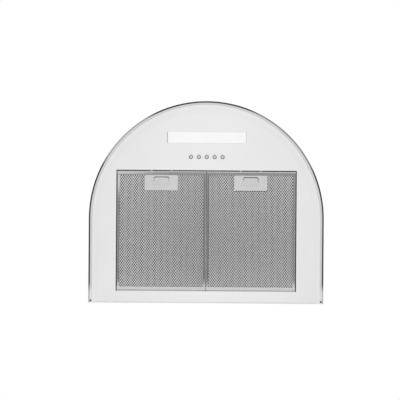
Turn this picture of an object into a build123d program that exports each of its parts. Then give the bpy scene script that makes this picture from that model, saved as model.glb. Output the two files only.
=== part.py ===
"""A half-round wall hood: a pressed dome on a bright rim, two filters, lamp, buttons and blower.

The wall is the plane Y = 0 and the room is towards -Y. X = 0 is the middle, +X is right for a person
who faces the wall. Z = 0 is the lower edge of the rim and +Z is up. Sizes are millimetres.
"""

from math import cos, pi, sin
import os

from build123d import *

os.makedirs("parts", exist_ok=True)

# Outline of the hood
hood_width = 598.0
hood_depth = 514.0
dome_height = 330.0  # rim to the flat crown
skirt_height = 80.0  # upright wall below the dome's curve
crown_width = 190.0  # flat crown that carries the duct
sheet = 1.2  # painted steel
fit = 0.2  # gap between nested sheets

# Bright rim
trim_height = 24.0
trim_wall = 2.8
trim_width = 9.5  # seen from below
trim_floor = 2.0
trim_lip = 1.2
trim_round = 5.0  # lower outer corner
trim_top_round = 1.4
trim_screw_inset = 6.6  # from the outer edge
trim_screw_setback = 5.5  # from the wall
trim_screw_radius = 1.5
trim_screw_head = 2.5
trim_screw_length = 12.0

# Base panel
panel_recess = 6.0  # its lower face above the rim
panel_flange = 16.0  # upright edge at the rim
panel_flange_stop = 16.0  # where that edge ends before the wall
side_margin = 69.5  # filter opening to the outside of the hood
front_zone = 176.0  # front of the hood to the filter opening
rear_margin = 30.2  # filter opening to the wall
opening_flange = 14.0  # upright edges beside the filters

# Back panel
back_sheet = 1.5
back_flange = 20.0  # flanges that the shell is screwed to
back_flange_height = 34.0
keyhole_spacing = 440.0
keyhole_z = 205.0
keyhole_head = 6.0
keyhole_slot = 3.5
keyhole_rise = 12.0
wall_hole_spacing = 480.0
wall_hole_z = 45.0
wall_hole_radius = 3.25

# Shell screws
shell_screw_radius = 2.0
shell_screw_head = 3.6
shell_screw_head_height = 2.2
shell_screw_length = 9.0
shell_screw_setback = 11.0
shell_screw_low = 42.0
shell_screw_pitch = 17.0
screw_clearance = 0.05

# Filters
filter_side_gap = 2.5
filter_middle_gap = 1.0
filter_front_gap = 2.0
filter_thickness = 9.0
frame_sheet = 0.8
frame_border = 7.2
frame_front_border = 10.5
mesh_sheet = 1.0
mesh_play = 0.3
mesh_pitch_x = 18.0
mesh_pitch_y = 25.0
mesh_strand = 4.5  # metal left between two diamonds, measured along X
hinge_gap = 1.5  # panel edge to the swing axis
hinge_setback = 1.2  # swing axis to the rear of the frame
hinge_lift = 0.7  # swing axis above the panel
hinge_tab_sheet = 0.8
hinge_tab_width = 20.0
hinge_tab_reach = 5.0
hinge_tab_spacing = 120.0
hinge_bead = 0.55

# Filter latches
latch_width = 84.3
latch_length = 38.8
latch_offset = -1.2  # latch to the left of its filter's middle
latch_proud = 1.2
latch_corner = 2.5
latch_gap = 0.3
latch_box_height = 5.2
latch_box_margin_x = 3.0
latch_box_margin_y = 2.5
latch_wall = 1.2
slider_length = 16.0
slider_play = 1.3
slider_lift = 0.4
tongue_width = 6.0
tongue_sheet = 1.5
tongue_spacing = 51.0
tongue_lift = 1.0  # tongue above the panel
tongue_short = 0.3  # tongue tip to the panel edge
tongue_play = 0.4
tongue_root = 1.0  # length of each tongue inside the bar
pull_width = 37.5
pull_length = 13.0
pull_proud = 2.0
pull_start = 0.3  # front of the slider to the pull
pull_travel_forward = 3.3
pull_travel_back = 2.8
pull_play = 0.8
pull_flat = 4.3  # level part of the pull before its ramp
pull_corner = 4.5
spring_radius = 1.6
spring_wire = 0.5
spring_turns = 5
spring_spacing = 60.0

# Lamp
lamp_setback = 92.6  # front of the hood to the middle of the lamp
lamp_length = 202.0
lamp_width = 28.6
lamp_play = 0.5
lamp_corner = 1.0
diffuser_sheet = 2.4
diffuser_edge = 4.0
tray_margin = 9.0
tray_height = 15.0
tray_wall = 1.0
board_sheet = 1.6
board_width = 18.0
board_margin = 6.0
chip_count = 12
chip_size = 5.0
chip_height = 1.2

# Buttons and switch
button_setback = 142.2  # front of the hood to the row
button_count = 5
button_pitch = 20.1
button_radius = 5.5
button_play = 0.5
button_proud = 3.4
button_round = 2.2
button_collar = 7.2
button_collar_height = 1.6
button_collar_lift = 0.3
button_travel = 3.0
plunger_radius = 2.0
plunger_play = 0.06
plunger_length = 14.0
switch_margin = 14.0
switch_width = 24.0
switch_height = 18.0
switch_gap = 1.3  # collar of a pressed button to the switch
switch_foot = 6.0

# Duct and back-draught flaps
duct_setback = 148.0  # wall to the middle of the duct
duct_radius = 75.0
duct_height = 50.0
duct_wall = 1.5
duct_flange = 11.0  # past the duct on each side
duct_flange_sheet = 2.0
duct_lip = 0.5  # step between duct and outlet
flap_z = 14.0  # pin above the crown
flap_sheet = 1.0
flap_play = 1.0
flap_root = 4.0  # pin axis to the plate
flap_pin = 1.5
flap_pin_play = 0.1
flap_barrel = 3.0
flap_barrel_length = 29.0
flap_barrel_pitch = 31.0
seat_width = 3.0
seat_height = 1.5
seat_gap = 0.5
duct_screw_radius = 2.0
duct_screw_head = 3.6
duct_screw_head_height = 2.4
duct_screw_edge = 9.0
duct_screw_length = 9.0

# Blower
impeller_radius = 78.0
impeller_width = 124.0
impeller_ring = 4.0
impeller_disc = 2.0
impeller_hub = 9.0
impeller_hub_length = 20.0
blade_count = 36
blade_depth = 15.0
blade_sheet = 1.0
blade_lean = 0.16  # tip ahead of the root, radians
scroll_gap = 14.0  # impeller to the scroll at its start
scroll_growth = 16.0  # each quarter turn
scroll_sheet = 1.0
outlet_step = 1.0  # outlet hole inside the scroll's walls
blower_drop = 138.0  # outlet flange to the shaft
blower_flange_sheet = 2.0
cheek_sheet = 1.0
cheek_lip = 7.0
inlet_radius = 62.0
inlet_depth = 8.0
cheek_screw_radius = 1.5
cheek_screw_head = 2.8
cheek_screw_head_height = 1.6

# Motor
shaft_radius = 4.0
shaft_play = 0.05
motor_radius = 44.0
motor_start = 8.0  # impeller disc to the motor
motor_round = 5.0
motor_cap_radius = 28.0
motor_cap_length = 18.0
motor_neck = 12.0
motor_neck_length = 4.0
bearing_radius = 9.0
bearing_width = 6.0
bracket_sheet = 3.0
bracket_arm = 14.0
bracket_overlap = 7.0
bracket_arms = 3
capacitor_radius = 16.0
capacitor_length = 58.0
capacitor_behind = 84.0  # the shaft
capacitor_below = 79.0
capacitor_round = 2.0

# Mains connection
box_x = -155.0
box_z = 185.0
box_width = 90.0
box_height = 70.0
box_depth = 40.0
box_wall = 1.2
box_cover_sheet = 1.2
box_screw_radius = 1.5
box_screw_head = 2.8
box_screw_head_height = 1.6
box_screw_length = 10.0
box_boss = 4.0
bush_drop = 17.0  # below the middle of the box
bush_bore = 7.0
bush_radius = 10.0
bush_flange = 13.0
bush_flange_sheet = 2.0
bush_play = 0.1
terminal_length = 52.0
terminal_height = 16.0
terminal_depth = 14.0
terminal_rise = 18.0  # above the middle of the box
terminal_poles = 5

# Lamp driver
driver_x = 160.0
driver_length = 84.0
driver_width = 34.0
driver_height = 22.0
driver_round = 2.0

# Leads held by clips
lead_radius = 3.0
lead_lift = 8.5  # middle of the lead above the panel
lead_margin = 38.0  # lead to the outside of the hood
lead_wall_gap = 12.0  # middle of the lead to the back panel
lead_bend = 26.0
clip_length = 8.0
clip_wall = 2.5

# Places that follow from those sizes
half_width = hood_width / 2
arch_y = half_width - hood_depth
shell_radius = half_width - trim_wall - fit
panel_radius = shell_radius - sheet - fit
trim_inner = half_width - trim_width
crown_half = crown_width / 2
panel_top = panel_recess + sheet
opening_width = hood_width - 2 * side_margin
opening_front = front_zone - hood_depth
opening_rear = -rear_margin
opening_depth = opening_rear - opening_front
opening_y = (opening_front + opening_rear) / 2
lamp_y = lamp_setback - hood_depth
button_y = button_setback - hood_depth
shell_inside = dome_height - sheet

hinge_y = opening_rear - hinge_gap
hinge_z = panel_top + hinge_lift
filter_rear = hinge_y - hinge_setback
filter_front = opening_front + filter_front_gap
filter_length = filter_rear - filter_front
filter_y = (filter_rear + filter_front) / 2
filter_width = (opening_width - filter_middle_gap) / 2 - filter_side_gap
filter_x = (filter_width + filter_middle_gap) / 2
window_width = filter_width - 2 * frame_border
window_length = filter_length - frame_border - frame_front_border
window_y = filter_y + (frame_front_border - frame_border) / 2
mesh_z = panel_recess + frame_sheet
pad_z = mesh_z + mesh_sheet
filter_top = panel_recess + filter_thickness

duct_y = -duct_setback
outlet_radius = duct_radius - duct_wall - duct_lip
duct_plate = 2 * (duct_radius + duct_flange)
duct_screw_spacing = duct_plate - 2 * duct_screw_edge
flap_height = dome_height + flap_z
flap_radius = duct_radius - duct_wall - flap_play

scroll_start = impeller_radius + scroll_gap
scroll_rear = scroll_start + 3 * scroll_growth
scroll_half = outlet_radius + outlet_step
blower_y = duct_y + scroll_half - scroll_rear
blower_top = shell_inside - blower_flange_sheet
blower_z = shell_inside - blower_drop
outlet_front = scroll_rear - 2 * scroll_half
cheek_face = scroll_half + cheek_sheet
motor_end = cheek_face


def save(piece, name):
    """Label one finished piece and write it to its own file."""
    piece.part.label = name
    export_step(piece.part, f"parts/{name}.step")


def arch_face(radius, rear=0.0, mode=Mode.ADD):
    """A face with a half-round front, straight sides and a straight rear edge."""
    with BuildLine() as outline:
        Polyline((-radius, arch_y), (-radius, rear), (radius, rear), (radius, arch_y))
        ThreePointArc((radius, arch_y), (0, arch_y - radius), (-radius, arch_y))
    make_face(outline.edges(), mode=mode)


def dome_half(radius, bottom, top):
    """Right half of the dome's section: an upright skirt, a quarter of an ellipse and a flat crown."""
    with BuildLine() as outline:
        Polyline((crown_half, top), (0, top), (0, bottom), (radius, bottom), (radius, skirt_height))
        EllipticalCenterArc(
            (crown_half, skirt_height), radius - crown_half, top - skirt_height, 0, arc_size=90
        )
    make_face(outline.edges())


def trim_half():
    """Right half of the rim's section: outer leg, floor and inner lip."""
    outer = half_width
    inner_leg = half_width - trim_wall
    with BuildLine() as outline:
        Polyline((trim_inner, 0), (outer - trim_round, 0))
        CenterArc((outer - trim_round, trim_round), trim_round, 270, 90)
        Line((outer, trim_round), (outer, trim_height - trim_top_round))
        CenterArc((outer - trim_top_round, trim_height - trim_top_round), trim_top_round, 0, 90)
        Polyline(
            (outer - trim_top_round, trim_height),
            (inner_leg, trim_height),
            (inner_leg, trim_floor),
            (trim_inner + trim_lip, trim_floor),
            (trim_inner + trim_lip, panel_recess),
            (trim_inner, panel_recess),
            (trim_inner, 0),
        )
    make_face(outline.edges())


# The front half of the hood is turned about this line
arch_plane = Plane.XZ.offset(-arch_y)
arch_axis = Axis((0, arch_y, 0), (0, 0, -1))


# Dome shell
with BuildPart() as dome_shell:
    with BuildSketch(arch_plane):
        dome_half(shell_radius, trim_floor, dome_height)
    revolve(axis=arch_axis, revolution_arc=180)
    with BuildSketch(arch_plane):
        dome_half(shell_radius, trim_floor, dome_height)
        mirror(about=Plane.YZ)
    extrude(amount=arch_y)
    with BuildSketch(arch_plane):
        dome_half(shell_radius - sheet, 0, shell_inside)
    revolve(axis=arch_axis, revolution_arc=180, mode=Mode.SUBTRACT)
    with BuildSketch(arch_plane):
        dome_half(shell_radius - sheet, 0, shell_inside)
        mirror(about=Plane.YZ)
    extrude(amount=arch_y - sheet, mode=Mode.SUBTRACT)
    with BuildSketch(Plane.XY.offset(dome_height)):
        with Locations((0, duct_y)):
            Circle(outlet_radius)
            with GridLocations(duct_screw_spacing, duct_screw_spacing, 2, 2):
                Circle(duct_screw_radius + screw_clearance)
    extrude(amount=-2 * sheet, mode=Mode.SUBTRACT)
    with BuildSketch(Plane.YZ):
        with Locations((-shell_screw_setback, shell_screw_low + shell_screw_pitch / 2)):
            with GridLocations(0, shell_screw_pitch, 1, 2):
                Circle(shell_screw_radius + screw_clearance)
    extrude(amount=half_width, both=True, mode=Mode.SUBTRACT)
save(dome_shell, "dome_shell")

# Bright rim with its two countersunk screws
with BuildPart() as trim_band:
    with BuildSketch(arch_plane):
        trim_half()
    revolve(axis=arch_axis, revolution_arc=180)
    with BuildSketch(arch_plane):
        trim_half()
        mirror(about=Plane.YZ)
    extrude(amount=arch_y)
    with Locations(
        (half_width - trim_screw_inset, -trim_screw_setback, 0),
        (trim_screw_inset - half_width, -trim_screw_setback, 0),
    ):
        Cone(
            trim_screw_head + screw_clearance,
            trim_screw_radius + screw_clearance,
            trim_floor,
            align=(Align.CENTER, Align.CENTER, Align.MIN),
            mode=Mode.SUBTRACT,
        )
save(trim_band, "trim_band")

with BuildPart() as trim_screws:
    with Locations(
        (half_width - trim_screw_inset, -trim_screw_setback, 0),
        (trim_screw_inset - half_width, -trim_screw_setback, 0),
    ):
        Cone(
            trim_screw_head,
            trim_screw_radius,
            trim_floor,
            align=(Align.CENTER, Align.CENTER, Align.MIN),
        )
        Cylinder(
            trim_screw_radius, trim_screw_length, align=(Align.CENTER, Align.CENTER, Align.MIN)
        )
save(trim_screws, "trim_screws")

# Base panel
button_hole = button_radius + button_play
with BuildPart() as base_panel:
    with BuildSketch(Plane.XY.offset(panel_recess)):
        arch_face(panel_radius, -back_sheet)
        with Locations((0, opening_y)):
            Rectangle(opening_width, opening_depth, mode=Mode.SUBTRACT)
        with Locations((0, lamp_y)):
            RectangleRounded(lamp_length, lamp_width, lamp_corner, mode=Mode.SUBTRACT)
        with Locations((0, button_y)):
            with GridLocations(button_pitch, 0, button_count, 1):
                Circle(button_hole, mode=Mode.SUBTRACT)
        with Locations((0, -trim_screw_setback)):
            with GridLocations(hood_width - 2 * trim_screw_inset, 0, 2, 1):
                Circle(trim_screw_radius + screw_clearance, mode=Mode.SUBTRACT)
    extrude(amount=sheet)
save(base_panel, "base_panel")

# Upright edges welded onto the base panel, round the rim and beside the filters
with BuildPart() as panel_rim:
    with BuildSketch(Plane.XY.offset(panel_top)):
        arch_face(panel_radius, -panel_flange_stop)
        arch_face(panel_radius - sheet, 0, Mode.SUBTRACT)
    extrude(amount=panel_flange - sheet)
save(panel_rim, "panel_rim")

with BuildPart() as opening_strips:
    with BuildSketch(Plane.XY.offset(panel_top)):
        with Locations((0, opening_y)):
            with GridLocations(opening_width + sheet, 0, 2, 1):
                Rectangle(sheet, opening_depth)
        with Locations((0, -back_sheet - sheet / 2)):
            Rectangle(opening_width, sheet)
    extrude(amount=opening_flange - sheet)
save(opening_strips, "opening_strips")

# Back panel with keyholes, wall screw holes and the bush hole, and the flanges welded to its ends
back_radius = panel_radius
back_narrow = trim_inner - fit
bush_z = box_z - bush_drop
with BuildPart() as back_panel:
    with BuildSketch(Plane.XZ):
        dome_half(back_radius, trim_height + fit, shell_inside - fit)
        mirror(about=Plane.YZ)
        with Locations((0, (trim_height + sheet) / 2)):
            Rectangle(2 * back_narrow, trim_height + sheet)
        with Locations((0, keyhole_z)):
            with GridLocations(keyhole_spacing, 0, 2, 1):
                Circle(keyhole_head, mode=Mode.SUBTRACT)
                with Locations((0, keyhole_rise / 2)):
                    SlotCenterToCenter(
                        keyhole_rise, 2 * keyhole_slot, rotation=90, mode=Mode.SUBTRACT
                    )
        with Locations((0, wall_hole_z)):
            with GridLocations(wall_hole_spacing, 0, 2, 1):
                Circle(wall_hole_radius, mode=Mode.SUBTRACT)
        with Locations((box_x, bush_z)):
            Circle(bush_radius + bush_play, mode=Mode.SUBTRACT)
    extrude(amount=back_sheet)
save(back_panel, "back_panel")

with BuildPart() as back_flanges:
    with BuildSketch(Plane.XY.offset(shell_screw_low - (back_flange_height - shell_screw_pitch) / 2)):
        with Locations((0, -(back_sheet + back_flange) / 2)):
            with GridLocations(2 * back_radius - back_sheet, 0, 2, 1):
                Rectangle(back_sheet, back_flange - back_sheet)
    extrude(amount=back_flange_height)
    with BuildSketch(Plane.YZ):
        with Locations((-shell_screw_setback, shell_screw_low + shell_screw_pitch / 2)):
            with GridLocations(0, shell_screw_pitch, 1, 2):
                Circle(shell_screw_radius + screw_clearance)
    extrude(amount=half_width, both=True, mode=Mode.SUBTRACT)
save(back_flanges, "back_flanges")

with BuildPart() as shell_screws:
    for side in (-1, 1):
        for row in range(2):
            place = Plane(
                origin=(side * shell_radius, -shell_screw_setback, shell_screw_low + row * shell_screw_pitch),
                z_dir=(side, 0, 0),
            )
            with BuildSketch(place):
                Circle(shell_screw_head)
            extrude(amount=shell_screw_head_height)
            with BuildSketch(place):
                Circle(shell_screw_radius)
            extrude(amount=-shell_screw_length)
save(shell_screws, "shell_screws")


# Filters
tongue_z = panel_top + tongue_lift
latch_front = filter_front + frame_front_border + latch_gap
latch_y = latch_front + latch_length / 2
latch_z = panel_recess - latch_proud
latch_box_width = latch_width - 2 * latch_box_margin_x
latch_box_length = latch_length - 2 * latch_box_margin_y
slider_front = latch_front + latch_box_margin_y + latch_wall + pull_travel_forward
slider_z = mesh_z + slider_lift
slider_top = tongue_z + tongue_sheet
pull_front = slider_front + pull_start
spring_room = latch_front + latch_length - latch_box_margin_y - latch_wall
spring_z = mesh_z + spring_radius + spring_wire + slider_lift
window_pull = pull_length + pull_travel_forward + pull_travel_back
hole_width = latch_box_width + 2 * latch_gap
hole_length = latch_box_length + 2 * latch_gap


def tongue_slots(centre_x, front, depth):
    """Slots that let both tongues through a wall whose front is given."""
    with BuildSketch(Plane.XZ.offset(-front)) as slots:
        with Locations((centre_x, tongue_z + tongue_sheet / 2)):
            with GridLocations(tongue_spacing, 0, 2, 1):
                Rectangle(tongue_width + 2 * tongue_play, tongue_sheet + 2 * tongue_play)
    extrude(slots.sketch, amount=-depth, mode=Mode.SUBTRACT)


def filter_frame(centre_x):
    """A channel frame with two tongue slots and two rear tabs that hook over the base panel."""
    with BuildPart() as frame:
        with BuildSketch(Plane.XY.offset(panel_recess)):
            with Locations((centre_x, filter_y)):
                Rectangle(filter_width, filter_length)
        extrude(amount=filter_thickness)
        with BuildSketch(Plane.XY.offset(mesh_z)):
            with Locations((centre_x, filter_y)):
                Rectangle(filter_width - 2 * frame_sheet, filter_length - 2 * frame_sheet)
        extrude(amount=filter_thickness - 2 * frame_sheet, mode=Mode.SUBTRACT)
        with BuildSketch(Plane.XY.offset(panel_recess)):
            with Locations((centre_x, window_y)):
                Rectangle(window_width, window_length)
        extrude(amount=filter_thickness, mode=Mode.SUBTRACT)
        tongue_slots(centre_x + latch_offset, filter_front, frame_sheet)
        with Locations((centre_x, filter_rear, hinge_z)):
            with GridLocations(hinge_tab_spacing, 0, 2, 1):
                Box(
                    hinge_tab_width,
                    hinge_setback + hinge_tab_reach,
                    hinge_tab_sheet,
                    align=(Align.CENTER, Align.MIN, Align.CENTER),
                )
                with Locations((0, hinge_setback, 0)):
                    Cylinder(hinge_bead, hinge_tab_width, rotation=(0, 90, 0))
    return frame


def filter_mesh(centre_x):
    """One sheet of expanded metal, with a plain border round the latch."""
    half_gap = (mesh_pitch_x - mesh_strand) / 2
    half_rise = half_gap * mesh_pitch_y / mesh_pitch_x
    columns = int((window_width - 2 * half_gap) / mesh_pitch_x) + 1
    rows = int((window_length - 2 * half_rise) / mesh_pitch_y) + 1
    corners = ((half_gap, 0), (0, half_rise), (-half_gap, 0), (0, -half_rise))
    with BuildPart() as mesh:
        with BuildSketch(Plane.XY.offset(mesh_z)):
            with Locations((centre_x, filter_y)):
                Rectangle(
                    filter_width - 2 * frame_sheet - 2 * mesh_play,
                    filter_length - 2 * frame_sheet - 2 * mesh_play,
                )
            with Locations((centre_x, window_y)):
                for short in (0, 1):
                    with GridLocations(mesh_pitch_x, mesh_pitch_y, columns - short, rows - short):
                        Polygon(*corners, align=(Align.CENTER, Align.CENTER), mode=Mode.SUBTRACT)
            with Locations((centre_x + latch_offset, latch_y)):
                Rectangle(hole_width + mesh_strand, hole_length + mesh_strand)
                Rectangle(hole_width, hole_length, mode=Mode.SUBTRACT)
        extrude(amount=mesh_sheet)
    return mesh


def filter_pad(centre_x):
    """The stack of foil layers, notched from its front edge for the latch."""
    pad_front = filter_front + frame_sheet + mesh_play
    notch_end = latch_y + hole_length / 2
    with BuildPart() as pad:
        with BuildSketch(Plane.XY.offset(pad_z)):
            with Locations((centre_x, filter_y)):
                Rectangle(
                    filter_width - 2 * frame_sheet - 2 * mesh_play,
                    filter_length - 2 * frame_sheet - 2 * mesh_play,
                )
            with Locations((centre_x + latch_offset, pad_front)):
                Rectangle(
                    hole_width,
                    notch_end - pad_front,
                    align=(Align.CENTER, Align.MIN),
                    mode=Mode.SUBTRACT,
                )
        extrude(amount=filter_top - frame_sheet - pad_z)
    return pad


def latch_plate(centre_x):
    """The plate seen from below, with the box that guides the slider behind it."""
    with BuildPart() as plate:
        with BuildSketch(Plane.XY.offset(latch_z)):
            with Locations((centre_x, latch_y)):
                RectangleRounded(latch_width, latch_length, latch_corner)
            with Locations((centre_x, pull_front - pull_travel_forward)):
                with Locations((0, window_pull / 2)):
                    RectangleRounded(
                        pull_width + 2 * pull_play, window_pull, pull_corner, mode=Mode.SUBTRACT
                    )
        extrude(amount=mesh_z - latch_z)
        with BuildSketch(Plane.XY.offset(mesh_z)):
            with Locations((centre_x, latch_y)):
                Rectangle(latch_box_width, latch_box_length)
                Rectangle(
                    latch_box_width - 2 * latch_wall,
                    latch_box_length - 2 * latch_wall,
                    mode=Mode.SUBTRACT,
                )
        extrude(amount=latch_box_height)
        tongue_slots(centre_x, latch_y - latch_box_length / 2, latch_wall)
    return plate


def latch_slider(centre_x):
    """The sliding bar with its two tongues and the raised pull."""
    bar_width = latch_box_width - 2 * latch_wall - 2 * slider_play
    tip = opening_front + tongue_short
    with BuildPart() as slider:
        with BuildSketch(Plane.XY.offset(slider_z)):
            with Locations((centre_x, slider_front)):
                Rectangle(bar_width, slider_length, align=(Align.CENTER, Align.MIN))
        extrude(amount=slider_top - slider_z)
        with BuildSketch(Plane.XY.offset(tongue_z)):
            with Locations((centre_x, tip)):
                with GridLocations(tongue_spacing, 0, 2, 1):
                    Rectangle(tongue_width, slider_front - tip + tongue_root, align=(Align.CENTER, Align.MIN))
        extrude(amount=tongue_sheet)
        pull_low = latch_z - pull_proud
        with BuildSketch(Plane.XY.offset(slider_z)):
            with Locations((centre_x, pull_front + pull_length / 2)):
                RectangleRounded(pull_width, pull_length, pull_corner)
        extrude(amount=pull_low - slider_z)
        with BuildSketch(Plane.YZ.offset(centre_x)):
            Polygon(
                (pull_front + pull_flat, pull_low),
                (pull_front + pull_length, pull_low),
                (pull_front + pull_length, latch_z),
                align=None,
            )
        extrude(amount=pull_width / 2, both=True, mode=Mode.SUBTRACT)
    return slider


def latch_springs(centre_x):
    """Two coil springs between the slider and the rear of the latch box."""
    start = slider_front + slider_length
    length = spring_room - start - spring_wire
    with BuildPart() as springs:
        for side in (-1, 1):
            base = Vector(centre_x + side * spring_spacing / 2, start + spring_wire / 2, spring_z)
            with BuildLine():
                coil = Helix(length / spring_turns, length, spring_radius, base, (0, 1, 0))
            with BuildSketch(Plane(origin=coil @ 0, z_dir=coil % 0)):
                Circle(spring_wire / 2)
            sweep()
    return springs


for side_name, side in (("left", -1), ("right", 1)):
    filter_middle = side * filter_x
    latch_middle = filter_middle + latch_offset
    save(filter_frame(filter_middle), f"{side_name}_filter_frame")
    save(filter_mesh(filter_middle), f"{side_name}_filter_mesh")
    save(filter_pad(filter_middle), f"{side_name}_filter_pad")
    save(latch_plate(latch_middle), f"{side_name}_latch_plate")
    save(latch_slider(latch_middle), f"{side_name}_latch_slider")
    save(latch_springs(latch_middle), f"{side_name}_latch_springs")

# Lamp
tray_length = lamp_length + 2 * tray_margin
tray_width = lamp_width + 2 * tray_margin
tray_top = panel_top + tray_height
with BuildPart() as lamp_tray:
    with BuildSketch(Plane.XY.offset(panel_top)):
        with Locations((0, lamp_y)):
            Rectangle(tray_length, tray_width)
    extrude(amount=tray_height)
    with BuildSketch(Plane.XY.offset(panel_top)):
        with Locations((0, lamp_y)):
            Rectangle(tray_length - 2 * tray_wall, tray_width - 2 * tray_wall)
    extrude(amount=tray_height - tray_wall, mode=Mode.SUBTRACT)
save(lamp_tray, "lamp_tray")

with BuildPart() as lamp_diffuser:
    with BuildSketch(Plane.XY.offset(panel_recess)):
        with Locations((0, lamp_y)):
            RectangleRounded(lamp_length - 2 * lamp_play, lamp_width - 2 * lamp_play, lamp_corner / 2)
    extrude(amount=sheet)
    with BuildSketch(Plane.XY.offset(panel_top)):
        with Locations((0, lamp_y)):
            Rectangle(lamp_length + 2 * diffuser_edge, lamp_width + 2 * diffuser_edge)
    extrude(amount=diffuser_sheet - sheet)
save(lamp_diffuser, "lamp_diffuser")

board_z = tray_top - tray_wall - board_sheet
board_length = lamp_length - 2 * board_margin
with BuildPart() as led_board:
    with BuildSketch(Plane.XY.offset(board_z)):
        with Locations((0, lamp_y)):
            Rectangle(board_length, board_width)
    extrude(amount=board_sheet)
    with BuildSketch(Plane.XY.offset(board_z)):
        with Locations((0, lamp_y)):
            with GridLocations(board_length / chip_count, 0, chip_count, 1):
                Rectangle(chip_size, chip_size)
    extrude(amount=-chip_height)
save(led_board, "led_board")

# Buttons and the switch that they push
switch_lift = button_collar_lift + button_collar_height + button_travel + switch_gap
switch_z = panel_top + switch_lift
switch_length = (button_count - 1) * button_pitch + 2 * switch_margin
button_face = panel_recess - button_proud
collar_z = panel_top + button_collar_lift
for number in range(button_count):
    button_x = (number - (button_count - 1) / 2) * button_pitch
    with BuildPart() as button:
        with BuildSketch(Plane.XY.offset(button_face)):
            with Locations((button_x, button_y)):
                Circle(button_radius)
        extrude(amount=collar_z - button_face)
        fillet(button.edges().sort_by(Axis.Z)[0], button_round)
        with BuildSketch(Plane.XY.offset(collar_z)):
            with Locations((button_x, button_y)):
                Circle(button_collar)
        extrude(amount=button_collar_height)
        with BuildSketch(Plane.XY.offset(collar_z)):
            with Locations((button_x, button_y)):
                Circle(plunger_radius)
        extrude(amount=plunger_length)
    save(button, f"button_{number + 1}")

with BuildPart() as switch_housing:
    with BuildSketch(Plane.XY.offset(switch_z)):
        with Locations((0, button_y)):
            Rectangle(switch_length, switch_width)
    extrude(amount=switch_height)
    with BuildSketch(Plane.XY.offset(switch_z)):
        with Locations((0, button_y)):
            with GridLocations(button_pitch, 0, button_count, 1):
                Circle(plunger_radius + plunger_play)
    extrude(amount=switch_height, mode=Mode.SUBTRACT)
    with BuildSketch(Plane.XY.offset(panel_top)):
        with Locations((0, button_y)):
            with GridLocations(switch_length - switch_foot, 0, 2, 1):
                Rectangle(switch_foot, switch_width)
    extrude(amount=switch_lift)
save(switch_housing, "switch_housing")

# Duct collar with its seat ring, screws, pin and flaps
with BuildPart() as duct_collar:
    with BuildSketch(Plane.XY.offset(dome_height)):
        with Locations((0, duct_y)):
            RectangleRounded(duct_plate, duct_plate, duct_flange)
            with GridLocations(duct_screw_spacing, duct_screw_spacing, 2, 2):
                Circle(duct_screw_radius + screw_clearance, mode=Mode.SUBTRACT)
    extrude(amount=duct_flange_sheet)
    with BuildSketch(Plane.XY.offset(dome_height)):
        with Locations((0, duct_y)):
            Circle(duct_radius)
    extrude(amount=duct_height)
    with BuildSketch(Plane.XY.offset(dome_height)):
        with Locations((0, duct_y)):
            Circle(duct_radius - duct_wall)
    extrude(amount=duct_height, mode=Mode.SUBTRACT)
    with BuildSketch(Plane.XY.offset(flap_height - flap_sheet / 2 - seat_gap - seat_height)):
        with Locations((0, duct_y)):
            Circle(duct_radius - duct_wall / 2)
            Circle(duct_radius - duct_wall - seat_width, mode=Mode.SUBTRACT)
            Rectangle(2 * duct_radius, 4 * flap_barrel, mode=Mode.SUBTRACT)
    extrude(amount=seat_height)
    with BuildSketch(Plane.YZ):
        with Locations((duct_y, flap_height)):
            Circle(flap_pin + screw_clearance)
    extrude(amount=duct_radius, both=True, mode=Mode.SUBTRACT)
save(duct_collar, "duct_collar")

with BuildPart() as collar_screws:
    with BuildSketch(Plane.XY.offset(dome_height + duct_flange_sheet)):
        with Locations((0, duct_y)):
            with GridLocations(duct_screw_spacing, duct_screw_spacing, 2, 2):
                Circle(duct_screw_head)
    extrude(amount=duct_screw_head_height)
    with BuildSketch(Plane.XY.offset(dome_height + duct_flange_sheet)):
        with Locations((0, duct_y)):
            with GridLocations(duct_screw_spacing, duct_screw_spacing, 2, 2):
                Circle(duct_screw_radius)
    extrude(amount=-duct_screw_length)
save(collar_screws, "collar_screws")

with BuildPart() as damper_pin:
    with BuildSketch(Plane.YZ):
        with Locations((duct_y, flap_height)):
            Circle(flap_pin)
    extrude(amount=duct_radius, both=True)
save(damper_pin, "damper_pin")


def damper_flap(side):
    """A half disc on two barrels that share the pin with the other flap's barrels."""
    first = -1.5 if side < 0 else -0.5
    with BuildPart() as flap:
        with BuildSketch(Plane.XY.offset(flap_height - flap_sheet / 2)):
            with Locations((0, duct_y)):
                Circle(flap_radius)
                with Locations((0, side * (flap_root - flap_radius))):
                    Rectangle(2 * flap_radius, 2 * flap_radius, mode=Mode.SUBTRACT)
        extrude(amount=flap_sheet)
        for turn in range(2):
            barrel_x = (first + 2 * turn) * flap_barrel_pitch
            with BuildSketch(Plane.YZ.offset(barrel_x)):
                with Locations((duct_y, flap_height)):
                    Circle(flap_barrel)
                    with Locations((side * (flap_root + 1) / 2, 0)):
                        Rectangle(flap_root + 1, flap_sheet)
                    Circle(flap_pin + flap_pin_play, mode=Mode.SUBTRACT)
            extrude(amount=flap_barrel_length / 2, both=True)
    return flap


save(damper_flap(-1), "front_damper_flap")
save(damper_flap(1), "rear_damper_flap")


# Blower housing
def scroll_face(grow, top):
    """Outline of the scroll: three quarter arcs that grow, then the straight outlet."""
    start = scroll_start + grow
    lip = outlet_front - grow
    lip_rise = (start**2 - lip**2) ** 0.5
    with BuildLine(Plane(origin=(blower_y, blower_z, 0))) as outline:
        RadiusArc((lip, lip_rise), (-start, 0), -start)
        CenterArc((scroll_growth, 0), start + scroll_growth, 180, 90)
        CenterArc((scroll_growth, scroll_growth), start + 2 * scroll_growth, 270, 90)
        Polyline(
            (scroll_rear + grow, scroll_growth),
            (scroll_rear + grow, top),
            (lip, top),
            (lip, lip_rise),
        )
    make_face(outline.edges())


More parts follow.
